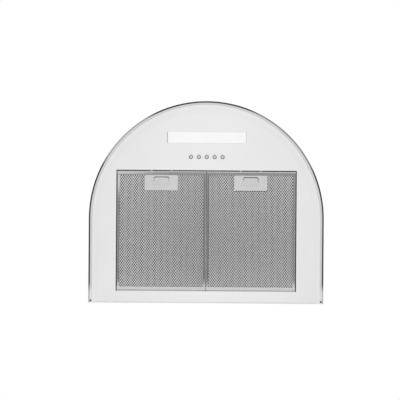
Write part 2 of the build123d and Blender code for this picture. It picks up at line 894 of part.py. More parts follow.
blower_rise = blower_top - blower_z
with BuildPart() as volute_wrap:
    with BuildSketch(Plane.YZ):
        scroll_face(scroll_sheet, blower_rise)
    extrude(amount=scroll_half, both=True)
    with BuildSketch(Plane.YZ):
        scroll_face(0, blower_rise)
    extrude(amount=scroll_half, both=True, mode=Mode.SUBTRACT)
    with BuildSketch(Plane.XY.offset(blower_top)):
        with Locations((0, duct_y)):
            Rectangle(duct_plate, duct_plate)
            Circle(outlet_radius, mode=Mode.SUBTRACT)
            with GridLocations(duct_screw_spacing, duct_screw_spacing, 2, 2):
                Circle(duct_screw_radius + screw_clearance, mode=Mode.SUBTRACT)
    extrude(amount=blower_flange_sheet)
save(volute_wrap, "volute_wrap")

cheek_screw_circle = scroll_start + scroll_growth + scroll_sheet + cheek_lip / 2
cheek_screw_spots = [
    (blower_y + scroll_growth + cheek_screw_circle * cos(turn * pi / 4),
     blower_z + cheek_screw_circle * sin(turn * pi / 4))
    for turn in (4, 5, 6)
]


def volute_cheek(side):
    """A side plate with a turned-in inlet ring and a lip that takes screws."""
    with BuildPart() as cheek:
        with BuildSketch(Plane.YZ.offset(side * scroll_half)):
            scroll_face(scroll_sheet + cheek_lip, blower_rise)
            with Locations((blower_y, blower_z)):
                Circle(inlet_radius, mode=Mode.SUBTRACT)
            with Locations(*cheek_screw_spots):
                Circle(cheek_screw_radius + screw_clearance, mode=Mode.SUBTRACT)
        extrude(amount=side * cheek_sheet)
        with BuildSketch(Plane.YZ.offset(side * cheek_face)):
            with Locations((blower_y, blower_z)):
                Circle(inlet_radius + cheek_sheet)
                Circle(inlet_radius, mode=Mode.SUBTRACT)
        extrude(amount=-side * inlet_depth)
    return cheek


save(volute_cheek(-1), "volute_left_cheek")
save(volute_cheek(1), "volute_right_cheek")

with BuildPart() as cheek_screws:
    for side in (-1, 1):
        with BuildSketch(Plane.YZ.offset(side * cheek_face)):
            with Locations(*cheek_screw_spots):
                Circle(cheek_screw_head)
        extrude(amount=side * cheek_screw_head_height)
        with BuildSketch(Plane.YZ.offset(side * cheek_face)):
            with Locations(*cheek_screw_spots):
                Circle(cheek_screw_radius)
        extrude(amount=-side * (cheek_sheet + cheek_screw_head))
save(cheek_screws, "cheek_screws")

# Impeller and shaft
blade_root = impeller_radius - blade_depth
blade_tip = impeller_radius - impeller_ring / 2
with BuildLine() as blade_line:
    RadiusArc(
        (blade_root, 0),
        (blade_tip * cos(blade_lean), blade_tip * sin(blade_lean)),
        blade_depth,
    )
with BuildPart() as impeller:
    with BuildSketch(Plane.YZ):
        with Locations((blower_y, blower_z)):
            with PolarLocations(0, blade_count):
                SlotArc(blade_line.edge(), blade_sheet)
    extrude(amount=impeller_width / 2, both=True)
    with BuildSketch(Plane.YZ):
        with Locations((blower_y, blower_z)):
            Circle(impeller_radius)
    extrude(amount=impeller_disc / 2, both=True)
    for side in (-1, 1):
        with BuildSketch(Plane.YZ.offset(side * impeller_width / 2)):
            with Locations((blower_y, blower_z)):
                Circle(impeller_radius)
                Circle(impeller_radius - impeller_ring, mode=Mode.SUBTRACT)
        extrude(amount=-side * impeller_ring)
    with BuildSketch(Plane.YZ.offset(impeller_disc / 2)):
        with Locations((blower_y, blower_z)):
            Circle(impeller_hub)
    extrude(amount=-impeller_hub_length)
    with BuildSketch(Plane.YZ.offset(-impeller_hub_length)):
        with Locations((blower_y, blower_z)):
            Circle(shaft_radius + screw_clearance)
    extrude(amount=2 * impeller_hub_length, mode=Mode.SUBTRACT)
save(impeller, "impeller")

shaft_start = -impeller_hub_length + impeller_disc / 2
shaft_end = motor_end + motor_neck_length
with BuildPart() as motor_shaft:
    with BuildSketch(Plane.YZ.offset(shaft_start)):
        with Locations((blower_y, blower_z)):
            Circle(shaft_radius)
    extrude(amount=shaft_end - shaft_start)
save(motor_shaft, "motor_shaft")

# Motor, its bearings and its bracket
cap_start = motor_end + bracket_sheet
with BuildPart() as motor_body:
    with BuildSketch(Plane.YZ.offset(motor_start)):
        with Locations((blower_y, blower_z)):
            Circle(motor_radius)
    extrude(amount=motor_end - motor_start)
    fillet(motor_body.edges(), motor_round)
    with BuildSketch(Plane.YZ.offset(motor_end)):
        with Locations((blower_y, blower_z)):
            Circle(motor_cap_radius)
    extrude(amount=bracket_sheet + motor_cap_length)
    with BuildSketch(Plane.YZ.offset(motor_start)):
        with Locations((blower_y, blower_z)):
            Circle(motor_neck)
    extrude(amount=-motor_neck_length)
    with BuildSketch(Plane.YZ.offset(motor_start - motor_neck_length)):
        with Locations((blower_y, blower_z)):
            Circle(shaft_radius + 4 * shaft_play)
    extrude(amount=shaft_end + shaft_play - motor_start + motor_neck_length, mode=Mode.SUBTRACT)
    for place in (motor_start - motor_neck_length, motor_end - bearing_width):
        with BuildSketch(Plane.YZ.offset(place)):
            with Locations((blower_y, blower_z)):
                Circle(bearing_radius)
        extrude(amount=bearing_width, mode=Mode.SUBTRACT)
save(motor_body, "motor_body")

with BuildPart() as motor_bearings:
    for place in (motor_start - motor_neck_length, motor_end - bearing_width):
        with BuildSketch(Plane.YZ.offset(place)):
            with Locations((blower_y, blower_z)):
                Circle(bearing_radius)
                Circle(shaft_radius + shaft_play, mode=Mode.SUBTRACT)
        extrude(amount=bearing_width)
save(motor_bearings, "motor_bearings")

with BuildPart() as motor_bracket:
    with BuildSketch(Plane.YZ.offset(motor_end)):
        with Locations((blower_y, blower_z)):
            Circle(motor_radius - motor_round)
            with PolarLocations(0, bracket_arms, 90):
                Rectangle(
                    inlet_radius + bracket_overlap, bracket_arm, align=(Align.MIN, Align.CENTER)
                )
            Circle(motor_cap_radius + fit, mode=Mode.SUBTRACT)
    extrude(amount=bracket_sheet)
save(motor_bracket, "motor_bracket")

with BuildPart() as run_capacitor:
    with BuildSketch(Plane.YZ.offset(cheek_face)):
        with Locations((blower_y + capacitor_behind, blower_z - capacitor_below)):
            Circle(capacitor_radius)
    extrude(amount=capacitor_length)
    fillet(run_capacitor.edges().sort_by(Axis.X)[-1], capacitor_round)
save(run_capacitor, "run_capacitor")

# Mains connection on the back panel
with BuildPart() as junction_box:
    with BuildSketch(Plane.XZ.offset(back_sheet)):
        with Locations((box_x, box_z)):
            Rectangle(box_width, box_height)
    extrude(amount=box_depth)
    with BuildSketch(Plane.XZ.offset(back_sheet + box_wall)):
        with Locations((box_x, box_z)):
            Rectangle(box_width - 2 * box_wall, box_height - 2 * box_wall)
    extrude(amount=box_depth, mode=Mode.SUBTRACT)
    with BuildSketch(Plane.XZ.offset(back_sheet)):
        with Locations((box_x, box_z)):
            with GridLocations(box_width - 2 * box_boss, 0, 2, 1):
                Circle(box_boss)
    extrude(amount=box_depth)
    with BuildSketch(Plane.XZ.offset(back_sheet + box_depth)):
        with Locations((box_x, box_z)):
            with GridLocations(box_width - 2 * box_boss, 0, 2, 1):
                Circle(box_screw_radius + screw_clearance)
    extrude(amount=-box_screw_length, mode=Mode.SUBTRACT)
    with BuildSketch(Plane.XZ.offset(back_sheet)):
        with Locations((box_x, bush_z)):
            Circle(bush_flange + bush_play)
    extrude(amount=box_wall, mode=Mode.SUBTRACT)
save(junction_box, "junction_box")

with BuildPart() as junction_box_cover:
    with BuildSketch(Plane.XZ.offset(back_sheet + box_depth)):
        with Locations((box_x, box_z)):
            Rectangle(box_width, box_height)
            with GridLocations(box_width - 2 * box_boss, 0, 2, 1):
                Circle(box_screw_radius + screw_clearance, mode=Mode.SUBTRACT)
    extrude(amount=box_cover_sheet)
save(junction_box_cover, "junction_box_cover")

with BuildPart() as junction_box_screws:
    with BuildSketch(Plane.XZ.offset(back_sheet + box_depth + box_cover_sheet)):
        with Locations((box_x, box_z)):
            with GridLocations(box_width - 2 * box_boss, 0, 2, 1):
                Circle(box_screw_head)
    extrude(amount=box_screw_head_height)
    with BuildSketch(Plane.XZ.offset(back_sheet + box_depth + box_cover_sheet)):
        with Locations((box_x, box_z)):
            with GridLocations(box_width - 2 * box_boss, 0, 2, 1):
                Circle(box_screw_radius)
    extrude(amount=-box_screw_length)
save(junction_box_screws, "junction_box_screws")

with BuildPart() as terminal_block:
    with BuildSketch(Plane.XZ.offset(back_sheet + box_wall)):
        with Locations((box_x, box_z + terminal_rise)):
            Rectangle(terminal_length, terminal_height)
    extrude(amount=terminal_depth)
    with BuildSketch(Plane.XZ.offset(back_sheet + box_wall + terminal_depth)):
        with Locations((box_x, box_z + terminal_rise)):
            with GridLocations(terminal_length / terminal_poles, terminal_height / 2, terminal_poles, 2):
                Circle(terminal_height / 8)
    extrude(amount=-terminal_depth / 2, mode=Mode.SUBTRACT)
save(terminal_block, "terminal_block")

with BuildPart() as cable_bush:
    with BuildSketch(Plane.XZ):
        with Locations((box_x, bush_z)):
            Circle(bush_radius)
    extrude(amount=back_sheet)
    with BuildSketch(Plane.XZ.offset(back_sheet)):
        with Locations((box_x, bush_z)):
            Circle(bush_flange)
    extrude(amount=bush_flange_sheet)
    with BuildSketch(Plane.XZ):
        with Locations((box_x, bush_z)):
            Circle(bush_bore)
    extrude(amount=back_sheet + bush_flange_sheet, mode=Mode.SUBTRACT)
save(cable_bush, "cable_bush")

# Lamp driver
driver_y = button_y
with BuildPart() as lamp_driver:
    with BuildSketch(Plane.XY.offset(panel_top)):
        with Locations((driver_x, driver_y)):
            Rectangle(driver_length, driver_width)
    extrude(amount=driver_height)
    fillet(lamp_driver.edges().filter_by(Axis.Z), driver_round)
save(lamp_driver, "lamp_driver")

# Leads
lead_z = panel_top + lead_lift
lead_x = lead_margin - half_width
lead_y = -back_sheet - lead_wall_gap
switch_end = switch_length / 2
box_left = box_x - box_width / 2
box_right = box_x + box_width / 2
motor_lead_y = -back_sheet - box_depth / 2
motor_lead_end = cap_start + motor_cap_length
motor_lead_out = motor_lead_end + lead_bend + lead_radius
lead_routes = {
    "switch_lead": [
        (-switch_end, button_y, lead_z),
        (lead_x + lead_bend, button_y, lead_z),
        (lead_x, button_y + 2 * lead_bend, lead_z),
        (lead_x, lead_y, lead_z),
        (lead_x, lead_y, box_z),
        (box_left, lead_y, box_z),
    ],
    "motor_lead": [
        (box_right, motor_lead_y, box_z),
        (motor_lead_out, motor_lead_y, box_z),
        (motor_lead_out, blower_y + motor_cap_radius / 2, blower_z),
        (motor_lead_end, blower_y + motor_cap_radius / 2, blower_z),
    ],
    "lamp_lead": [
        (driver_x, driver_y - driver_width / 2, lead_z),
        (driver_x, lamp_y, lead_z),
        (tray_length / 2, lamp_y, lead_z),
    ],
    "driver_lead": [
        (switch_end, driver_y, lead_z),
        (driver_x - driver_length / 2, driver_y, lead_z),
    ],
}
for lead_name, points in lead_routes.items():
    with BuildPart() as lead:
        with BuildLine() as route:
            if len(points) > 2:
                FilletPolyline(*points, radius=lead_bend)
            else:
                Line(*points)
        with BuildSketch(Plane(origin=route.line @ 0, z_dir=route.line % 0)):
            Circle(lead_radius)
        sweep(path=route.line)
    save(lead, lead_name)

clip_outer = lead_radius + clip_wall
with BuildPart() as lead_clips:
    with BuildSketch(Plane.XZ.offset(-opening_y)):
        with Locations((lead_x, panel_top)):
            Rectangle(2 * clip_outer, lead_lift + clip_outer, align=(Align.CENTER, Align.MIN))
        with Locations((lead_x, lead_z)):
            Circle(lead_radius, mode=Mode.SUBTRACT)
    extrude(amount=clip_length)
    with BuildSketch(Plane.XY.offset(box_z / 2)):
        with Locations((lead_x, -back_sheet)):
            Rectangle(2 * clip_outer, lead_wall_gap + clip_outer, align=(Align.CENTER, Align.MAX))
        with Locations((lead_x, lead_y)):
            Circle(lead_radius, mode=Mode.SUBTRACT)
    extrude(amount=clip_length)
save(lead_clips, "lead_clips")
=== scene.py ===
import math

import bmesh
import bpy
import numpy as np
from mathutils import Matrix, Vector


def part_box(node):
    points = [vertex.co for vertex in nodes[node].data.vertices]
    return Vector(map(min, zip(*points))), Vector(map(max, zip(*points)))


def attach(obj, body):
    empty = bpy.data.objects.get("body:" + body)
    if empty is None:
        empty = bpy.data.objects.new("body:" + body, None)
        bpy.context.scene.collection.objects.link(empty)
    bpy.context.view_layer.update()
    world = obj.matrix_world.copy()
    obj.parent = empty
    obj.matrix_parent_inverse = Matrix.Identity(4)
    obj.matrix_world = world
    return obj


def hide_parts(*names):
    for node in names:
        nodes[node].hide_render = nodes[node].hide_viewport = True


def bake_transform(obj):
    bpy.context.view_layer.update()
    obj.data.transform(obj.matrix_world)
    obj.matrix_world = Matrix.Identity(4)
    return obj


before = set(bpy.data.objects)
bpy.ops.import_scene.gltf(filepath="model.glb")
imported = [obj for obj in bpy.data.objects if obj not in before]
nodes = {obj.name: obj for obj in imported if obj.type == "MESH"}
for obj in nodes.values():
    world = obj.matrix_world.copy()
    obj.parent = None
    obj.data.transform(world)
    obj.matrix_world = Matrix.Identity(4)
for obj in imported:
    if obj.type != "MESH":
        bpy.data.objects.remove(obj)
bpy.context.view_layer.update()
scene = bpy.context.scene
print("frame loaded,", len(nodes), "nodes")

mm = 0.001

# Lines that several pieces follow
shellLow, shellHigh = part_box("dome_shell")
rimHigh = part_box("trim_band")[1]
archY = shellLow.y + shellHigh.x  # middle of the half-round front
panelLow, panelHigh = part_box("base_panel")
collarLow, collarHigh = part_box("duct_collar")


# Shader helpers
def addNode(tree, kind, values=None, **settings):  # values are sockets to link or plain numbers
    made = tree.nodes.new(kind)
    for setting, value in settings.items():
        setattr(made, setting, value)
    for socket, value in (values or {}).items():
        if isinstance(value, bpy.types.NodeSocket):
            tree.links.new(value, made.inputs[socket])
        else:
            made.inputs[socket].default_value = value
    return made


def calc(tree, operation, *operands):  # one math node
    return addNode(tree, "ShaderNodeMath", dict(enumerate(operands)), operation=operation).outputs[0]


def ramp(tree, value, start, end, low, high):  # smooth step from low to high
    values = {"Value": value, "From Min": start, "From Max": end, "To Min": low, "To Max": high}
    made = addNode(tree, "ShaderNodeMapRange", values, interpolation_type="SMOOTHSTEP")
    return made.outputs["Result"]


def stretch(tree, value, low, high):  # 0..1 spread over low..high
    values = {"Value": value, "To Min": low, "To Max": high}
    return addNode(tree, "ShaderNodeMapRange", values).outputs["Result"]


def blendColours(tree, factor, first, second):
    made = addNode(tree, "ShaderNodeMix", {"Factor": factor}, data_type="RGBA")
    for socket, value in ((made.inputs[6], first), (made.inputs[7], second)):
        if isinstance(value, bpy.types.NodeSocket):
            tree.links.new(value, socket)
        else:
            socket.default_value = (*value, 1.0)
    return made.outputs[2]


def noise(tree, place, scale, detail):  # the outputs of one noise node
    return addNode(tree, "ShaderNodeTexNoise", {"Vector": place, "Scale": scale, "Detail": detail}).outputs


def newGroup(name, inputs, outputs):
    group = bpy.data.node_groups.new(name, "ShaderNodeTree")
    for label, kind in inputs:
        group.interface.new_socket(name=label, in_out="INPUT", socket_type=kind)
    for label in outputs:
        group.interface.new_socket(name=label, in_out="OUTPUT", socket_type="NodeSocketFloat")
    return group, group.nodes.new("NodeGroupInput").outputs, group.nodes.new("NodeGroupOutput").inputs


# Noise of the shared finishes: its finer detail, the span spread over 0..1, and how lines and cloud mix
grainNoise = dict(
    mottleDetail=3.0, peelDetail=2.0, lineDetail=4.0, cloudDetail=3.0, cloudScale=22.0, softSpan=(0.3, 0.7),
    lineSpan=(0.25, 0.75), lineShare=0.65, cloudShare=0.35)


def makeSkinGrain():  # slow mottle and fine peel of a painted, cast or moulded skin
    inputs = (("Vector", "NodeSocketVector"), ("Mottle Scale", "NodeSocketFloat"),
              ("Peel Scale", "NodeSocketFloat"))
    group, given, put = newGroup("skin grain", inputs, ("Mottle", "Peel"))
    mottle = noise(group, given["Vector"], given["Mottle Scale"], grainNoise["mottleDetail"])[0]
    peel = noise(group, given["Vector"], given["Peel Scale"], grainNoise["peelDetail"])[0]
    group.links.new(ramp(group, mottle, *grainNoise["softSpan"], 0.0, 1.0), put["Mottle"])
    group.links.new(peel, put["Peel"])
    return group


def makeBrushLines():  # fine lines, long where Stretch is small and close where it is large
    inputs = (("Vector", "NodeSocketVector"), ("Stretch", "NodeSocketVector"))
    group, given, put = newGroup("brush lines", inputs, ("Lines", "Cloud"))
    scaled = {0: given["Vector"], 1: given["Stretch"]}
    laid = addNode(group, "ShaderNodeVectorMath", scaled, operation="MULTIPLY").outputs[0]
    lines = noise(group, laid, 1.0, grainNoise["lineDetail"])[0]
    cloud = noise(group, given["Vector"], grainNoise["cloudScale"], grainNoise["cloudDetail"])[0]
    group.links.new(ramp(group, lines, *grainNoise["lineSpan"], 0.0, 1.0), put["Lines"])
    group.links.new(ramp(group, cloud, *grainNoise["softSpan"], 0.0, 1.0), put["Cloud"])
    return group


skinGrain = makeSkinGrain()
brushLines = makeBrushLines()


def startFinish(name, coordinates="Object"):
    material = bpy.data.materials.new(name.replace("_", " "))
    material.use_nodes = True
    tree = material.node_tree
    shader = tree.nodes["Principled BSDF"]
    return material, tree, shader, tree.nodes.new("ShaderNodeTexCoord").outputs[coordinates]


def shade(tree, shader, spec, tone, height, metal):  # tone picks colour and roughness, height is the relief
    colour = blendColours(tree, tone, spec["dark"], spec["light"])
    tree.links.new(colour, shader.inputs["Base Color"])
    tree.links.new(stretch(tree, tone, *spec["rough"]), shader.inputs["Roughness"])
    relief = {"Height": height, "Distance": spec["depth"], "Strength": 1.0}
    tree.links.new(addNode(tree, "ShaderNodeBump", relief).outputs[0], shader.inputs["Normal"])
    shader.inputs["Metallic"].default_value = metal
    return colour


def skinFinish(name, spec):  # paint, plastic, rubber, casting
    material, tree, shader, place = startFinish(name)
    grain = addNode(tree, "ShaderNodeGroup", node_tree=skinGrain)
    tree.links.new(place, grain.inputs["Vector"])
    grain.inputs["Mottle Scale"].default_value = spec["mottle"]
    grain.inputs["Peel Scale"].default_value = spec["peel"]
    shade(tree, shader, spec, grain.outputs[0], grain.outputs[1], spec.get("metal", 0.0))
    return material


def brushedFinish(name, spec):  # drawn, brushed or polished metal
    material, tree, shader, place = startFinish(name, spec.get("coordinates", "Object"))
    lines = addNode(tree, "ShaderNodeGroup", node_tree=brushLines)
    tree.links.new(place, lines.inputs["Vector"])
    lines.inputs["Stretch"].default_value = spec["stretch"]
    cloud = calc(tree, "MULTIPLY", lines.outputs[1], grainNoise["cloudShare"])
    tone = calc(tree, "MULTIPLY_ADD", lines.outputs[0], grainNoise["lineShare"], cloud)
    shade(tree, shader, spec, tone, lines.outputs[0], spec.get("metal", 1.0))
    if "satinMetal" in spec:  # polished lower edge, duller above it and towards the wall
        split = addNode(tree, "ShaderNodeSeparateXYZ", {0: place.node.outputs["Object"]}).outputs
        above = ramp(tree, split["Z"], *spec["satinRange"], 1.0, spec["satinMetal"])
        behind = ramp(tree, split["Y"], *spec["dullRange"], 1.0, spec["dullMetal"])
        tree.links.new(calc(tree, "MINIMUM", above, behind), shader.inputs["Metallic"])
    return material


def grey(level):
    return (level, level, level)


# Finishes, one dictionary each: colours, roughness and the size of their grain
plastic = dict(mottle=40.0, peel=1400.0, depth=0.00006)
skinSpecs = {
    "white_enamel": dict(
        dark=(0.872, 0.873, 0.87), light=(0.892, 0.893, 0.89), rough=(0.2, 0.27), mottle=9.0, peel=420.0,
        depth=0.00002),
    "motor_casting": dict(
        dark=(0.2, 0.2, 0.21), light=(0.34, 0.34, 0.35), rough=(0.42, 0.6), mottle=60.0, peel=900.0,
        depth=0.0001, metal=0.75),
    "black_plastic": dict(plastic, dark=(0.016, 0.016, 0.017), light=(0.03, 0.03, 0.031), rough=(0.4, 0.55)),
    "grey_plastic": dict(plastic, dark=(0.2, 0.205, 0.21), light=(0.27, 0.275, 0.28), rough=(0.38, 0.52)),
    "white_plastic": dict(
        plastic, dark=(0.72, 0.715, 0.7), light=(0.8, 0.8, 0.785), rough=(0.34, 0.46), depth=0.00005),
    "lead_sheath": dict(
        dark=(0.42, 0.42, 0.43), light=(0.52, 0.52, 0.53), rough=(0.36, 0.5), mottle=55.0, peel=1600.0,
        depth=0.00004),
    "bush_rubber": dict(
        dark=grey(0.012), light=grey(0.026), rough=(0.62, 0.8), mottle=90.0, peel=1800.0, depth=0.00005),
}
brushedSpecs = {
    "bright_trim": dict(
        dark=grey(0.8), light=grey(0.9), rough=(0.07, 0.15), coordinates="UV",
        stretch=(14.0, 2600.0, 1.0), depth=0.000002, satinRange=(3.5 * mm, 6.0 * mm), satinMetal=0.5,
        dullRange=(-52.0 * mm, -24.0 * mm), dullMetal=0.2),
    "filter_aluminium": dict(
        dark=(0.84, 0.84, 0.845), light=(0.95, 0.95, 0.955), rough=(0.15, 0.26), coordinates="UV",
        stretch=(30.0, 2200.0, 1.0), depth=0.000008),
    "face_strands": dict(
        dark=(0.92, 0.92, 0.925), light=(0.98, 0.98, 0.985), rough=(0.3, 0.4), coordinates="UV",
        stretch=(120.0, 900.0, 1.0), depth=0.000004, metal=0.3),
    # painted shade: the inner sheets are coloured far darker than bare aluminium, standing in for the shade
    # deep inside the filter
    "shaded_inner_foil": dict(
        dark=(0.18, 0.18, 0.181), light=(0.235, 0.235, 0.236), rough=(0.34, 0.5), coordinates="UV",
        stretch=(60.0, 900.0, 1.0), depth=0.00001),
    "latch_steel": dict(
        dark=grey(0.725), light=grey(0.82), rough=(0.15, 0.26), stretch=(40.0, 1500.0, 1500.0),
        depth=0.000006, metal=0.6),
    "button_metal": dict(
        dark=grey(0.88), light=grey(0.96), rough=(0.08, 0.16), coordinates="UV",
        stretch=(1.0, 3200.0, 1.0), depth=0.000004),
    "screw_steel": dict(
        dark=(0.34, 0.34, 0.35), light=(0.5, 0.5, 0.51), rough=(0.25, 0.42), stretch=(900.0, 900.0, 900.0),
        depth=0.00001),
    "shaft_steel": dict(
        dark=grey(0.5), light=grey(0.64), rough=(0.18, 0.3), stretch=(2400.0, 60.0, 60.0), depth=0.000006),
    "spring_steel": dict(
        dark=grey(0.42), light=grey(0.56), rough=(0.2, 0.32), stretch=(700.0, 700.0, 700.0), depth=0.000006),
}
finishes = {name: skinFinish(name, spec) for name, spec in skinSpecs.items()}
finishes.update({name: brushedFinish(name, spec) for name, spec in brushedSpecs.items()})

zincSheet = dict(
    flakes=75.0, warp=0.006, bendScale=60.0, bendDetail=2.0, dark=(0.42, 0.43, 0.44),
    light=(0.66, 0.67, 0.68), rough=(0.3, 0.5), depth=0.00002, metal=0.6, paint=(0.88, 0.88, 0.876),
    paintTop=rimHigh.z, paintFade=2.0 * mm)


def zincFinish(name, painted=False):  # galvanised flakes: cells with their own tone, edges bent by slow noise
    spec = zincSheet
    material, tree, shader, place = startFinish(name)
    bends = noise(tree, place, spec["bendScale"], spec["bendDetail"])["Color"]
    bent = {0: bends, 1: (spec["warp"],) * 3, 2: place}
    warped = addNode(tree, "ShaderNodeVectorMath", bent, operation="MULTIPLY_ADD").outputs[0]
    cells = addNode(tree, "ShaderNodeTexVoronoi", {"Vector": warped, "Scale": spec["flakes"]})
    tone = addNode(tree, "ShaderNodeSeparateColor", {0: cells.outputs["Color"]}).outputs[0]
    colour = shade(tree, shader, spec, tone, cells.outputs["Distance"], spec["metal"])
    if painted:  # the enamel runs round the lower edge
        height = addNode(tree, "ShaderNodeSeparateXYZ", {0: place}).outputs["Z"]
        bare = ramp(tree, height, spec["paintTop"], spec["paintTop"] + spec["paintFade"], 0.0, 1.0)
        tree.links.new(blendColours(tree, bare, spec["paint"], colour), shader.inputs["Base Color"])
        tree.links.new(calc(tree, "MULTIPLY", bare, spec["metal"]), shader.inputs["Metallic"])
    return material


# the end keys set the painted shade at the lamp's two ends: its colour, its width and how dark each end gets
diffuserSheet = dict(
    dark=(0.905, 0.905, 0.902), light=(0.93, 0.93, 0.927), rough=(0.42, 0.55), mottle=14.0, peel=1500.0,
    depth=0.00003, glow=0.098, hiddenEdge=4.5 * mm, endShadeWidth=2.2 * mm, endShadeColour=grey(0.0),
    leftEndShade=0.38, rightEndShade=0.75)


def diffuserFinish():  # frosted sheet: fine etched grain, a little light from inside, painted shade darkening both ends, the left end more
    spec = diffuserSheet
    material = skinFinish("frosted diffuser", spec)
    tree = material.node_tree
    shader = tree.nodes["Principled BSDF"]
    place = tree.nodes["Texture Coordinate"].outputs["Object"]
    along = addNode(tree, "ShaderNodeSeparateXYZ", {0: place}).outputs["X"]
    low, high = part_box("lamp_diffuser")
    leftEnd, rightEnd = low.x + spec["hiddenEdge"], high.x - spec["hiddenEdge"]
    # painted shade: towards each end the colour fades to the end colour and the lamp's glow dims with it, the
    # left end darker than the right
    left = ramp(tree, along, leftEnd, leftEnd + spec["endShadeWidth"], spec["leftEndShade"], 1.0)
    right = ramp(tree, along, rightEnd - spec["endShadeWidth"], rightEnd, 1.0, spec["rightEndShade"])
    lit = calc(tree, "MULTIPLY", left, right)
    plain = shader.inputs["Base Color"].links[0].from_socket
    tree.links.new(blendColours(tree, lit, spec["endShadeColour"], plain), shader.inputs["Base Color"])
    tree.links.new(lit, shader.inputs["Emission Color"])
    shader.inputs["Emission Strength"].default_value = spec["glow"]
    return material


ledBoard = dict(
    mask=(0.8, 0.8, 0.79), trace=(0.72, 0.73, 0.72), chip=(0.78, 0.62, 0.16), chipHeight=1.0 * mm,
    trackScale=26.0, trackBend=1.5, rough=(0.3, 0.42))


def boardFinish():  # white lacquer with faint tracks, and yellow chips below the board's face
    spec = ledBoard
    material, tree, shader, place = startFinish("board laminate")
    height = addNode(tree, "ShaderNodeSeparateXYZ", {0: place}).outputs["Z"]
    tracks = {"Vector": place, "Scale": spec["trackScale"], "Distortion": spec["trackBend"]}
    wave = addNode(tree, "ShaderNodeTexWave", tracks).outputs[1]
    lacquer = blendColours(tree, wave, spec["mask"], spec["trace"])
    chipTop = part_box("led_board")[0].z + spec["chipHeight"]
    onChip = calc(tree, "LESS_THAN", height, chipTop)
    tree.links.new(blendColours(tree, onChip, lacquer, spec["chip"]), shader.inputs["Base Color"])
    tree.links.new(stretch(tree, wave, *spec["rough"]), shader.inputs["Roughness"])
    return material


finishes["zinc_sheet"] = zincFinish("zinc sheet")
finishes["painted_zinc"] = zincFinish("zinc sheet with painted edge", painted=True)
finishes["frosted_diffuser"] = diffuserFinish()
finishes["board_laminate"] = boardFinish()

for node in nodes.values():
    node.material_slots[0].material = finishes[node.material_slots[0].material.name]
nodes["back_panel"].material_slots[0].material = finishes["painted_zinc"]
print("finishes made,", len(finishes))


# Mesh helpers
def joined(*parts):  # coordinates side by side as points, each spread to the shape of the largest
    return np.stack(np.broadcast_arrays(*parts), axis=-1)


def gridQuads(rows, columns, closeRows=False, closeColumns=False):  # corners of each cell, wrapped if closed
    row = np.arange(rows if closeRows else rows - 1)[:, None]
    column = np.arange(columns if closeColumns else columns - 1)
    near, far, beside = row * columns, ((row + 1) % rows) * columns, (column + 1) % columns
    return joined(near + column, near + beside, far + beside, far + column).reshape(-1, 4)


def sheetPatch(points, **closed):  # a rows x columns x 3 grid as one patch
    rows, columns = points.shape[:2]
    return points.reshape(-1, 3), [gridQuads(rows, columns, **closed)], None


def tubePatch(points, uv=None):  # closed section (columns) carried along a path (rows), both ends capped
    rows, columns = points.shape[:2]
    firstCap = np.arange(columns)[None, :]
    lastCap = (rows - 1) * columns + firstCap
    faces = [gridQuads(rows, columns, closeColumns=True), firstCap, lastCap]
    return points.reshape(-1, 3), faces, uv


sharpTurn = dict(usual=0.6, rolled=0.9, thin=0.5)  # edges that turn further than this stay sharp, in radians
weldDistance = 1e-6


def addPiece(name, patches, body, slotName, replaced=(), sharpAngle=sharpTurn["usual"], finish=None):
    counts = [len(points) for points, _, _ in patches]
    starts = np.cumsum(counts) - counts
    points = np.concatenate([points for points, _, _ in patches])
    faceSets = [faces + start for (_, sets, _), start in zip(patches, starts) for faces in sets]
    corners = np.concatenate([faces.ravel() for faces in faceSets]).astype(np.int32)
    sizes = np.concatenate([np.full(len(faces), faces.shape[1]) for faces in faceSets])
    mesh = bpy.data.meshes.new(name)
    mesh.vertices.add(len(points))
    mesh.vertices.foreach_set("co", points.astype(np.float32).ravel())
    mesh.loops.add(len(corners))
    mesh.loops.foreach_set("vertex_index", corners)
    mesh.polygons.add(len(sizes))
    mesh.polygons.foreach_set("loop_start", (np.cumsum(sizes) - sizes).astype(np.int32))
    mesh.update(calc_edges=True)
    if patches[0][2] is not None:
        uv = np.concatenate([uv.reshape(-1, 2) for _, _, uv in patches])
        layer = mesh.uv_layers.new(name="along_across")
        layer.data.foreach_set("uv", uv[corners].astype(np.float32).ravel())
    closeUp(mesh)
    mesh.polygons.foreach_set("use_smooth", np.ones(len(mesh.polygons), dtype=bool))
    mesh.set_sharp_from_angle(angle=sharpAngle)
    piece = bpy.data.objects.new(name, mesh)
    scene.collection.objects.link(piece)
    mesh.materials.append(finishes[finish or slotName])
    if body:
        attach(piece, body)
    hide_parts(*replaced)
    return piece


def closeUp(mesh):  # weld the seams between patches, then turn every face outwards
    work = bmesh.new()
    work.from_mesh(mesh)
    bmesh.ops.remove_doubles(work, verts=work.verts, dist=weldDistance)
    bmesh.ops.recalc_face_normals(work, faces=work.faces)
    work.to_mesh(mesh)
    work.free()


def arcPoints(centre, radii, start, end, steps):  # part of an ellipse, angles in degrees
    turn = np.radians(np.linspace(start, end, steps))
    return joined(centre[0] + radii[0] * np.cos(turn), centre[1] + radii[1] * np.sin(turn))


def runLength(points):  # distance walked along a line of points
    steps = np.linalg.norm(np.diff(points, axis=0), axis=1)
    return np.concatenate(([0.0], np.cumsum(steps)))


# Plan line of the hood: forward along the left side, round half a circle, back along the right side
planSteps = dict(side=14, arc=97)


def planLine():
    sideY = np.linspace(0.0, archY, planSteps["side"], endpoint=False)
    turn = np.linspace(math.pi, 2 * math.pi, planSteps["arc"])
    ones = np.ones(planSteps["side"])
    backY = np.concatenate((sideY, np.full(planSteps["arc"], archY), sideY[::-1]))
    outX = np.concatenate((-ones, np.cos(turn), ones))
    outY = np.concatenate((0 * ones, np.sin(turn), 0 * ones))
    return backY, outX, outY


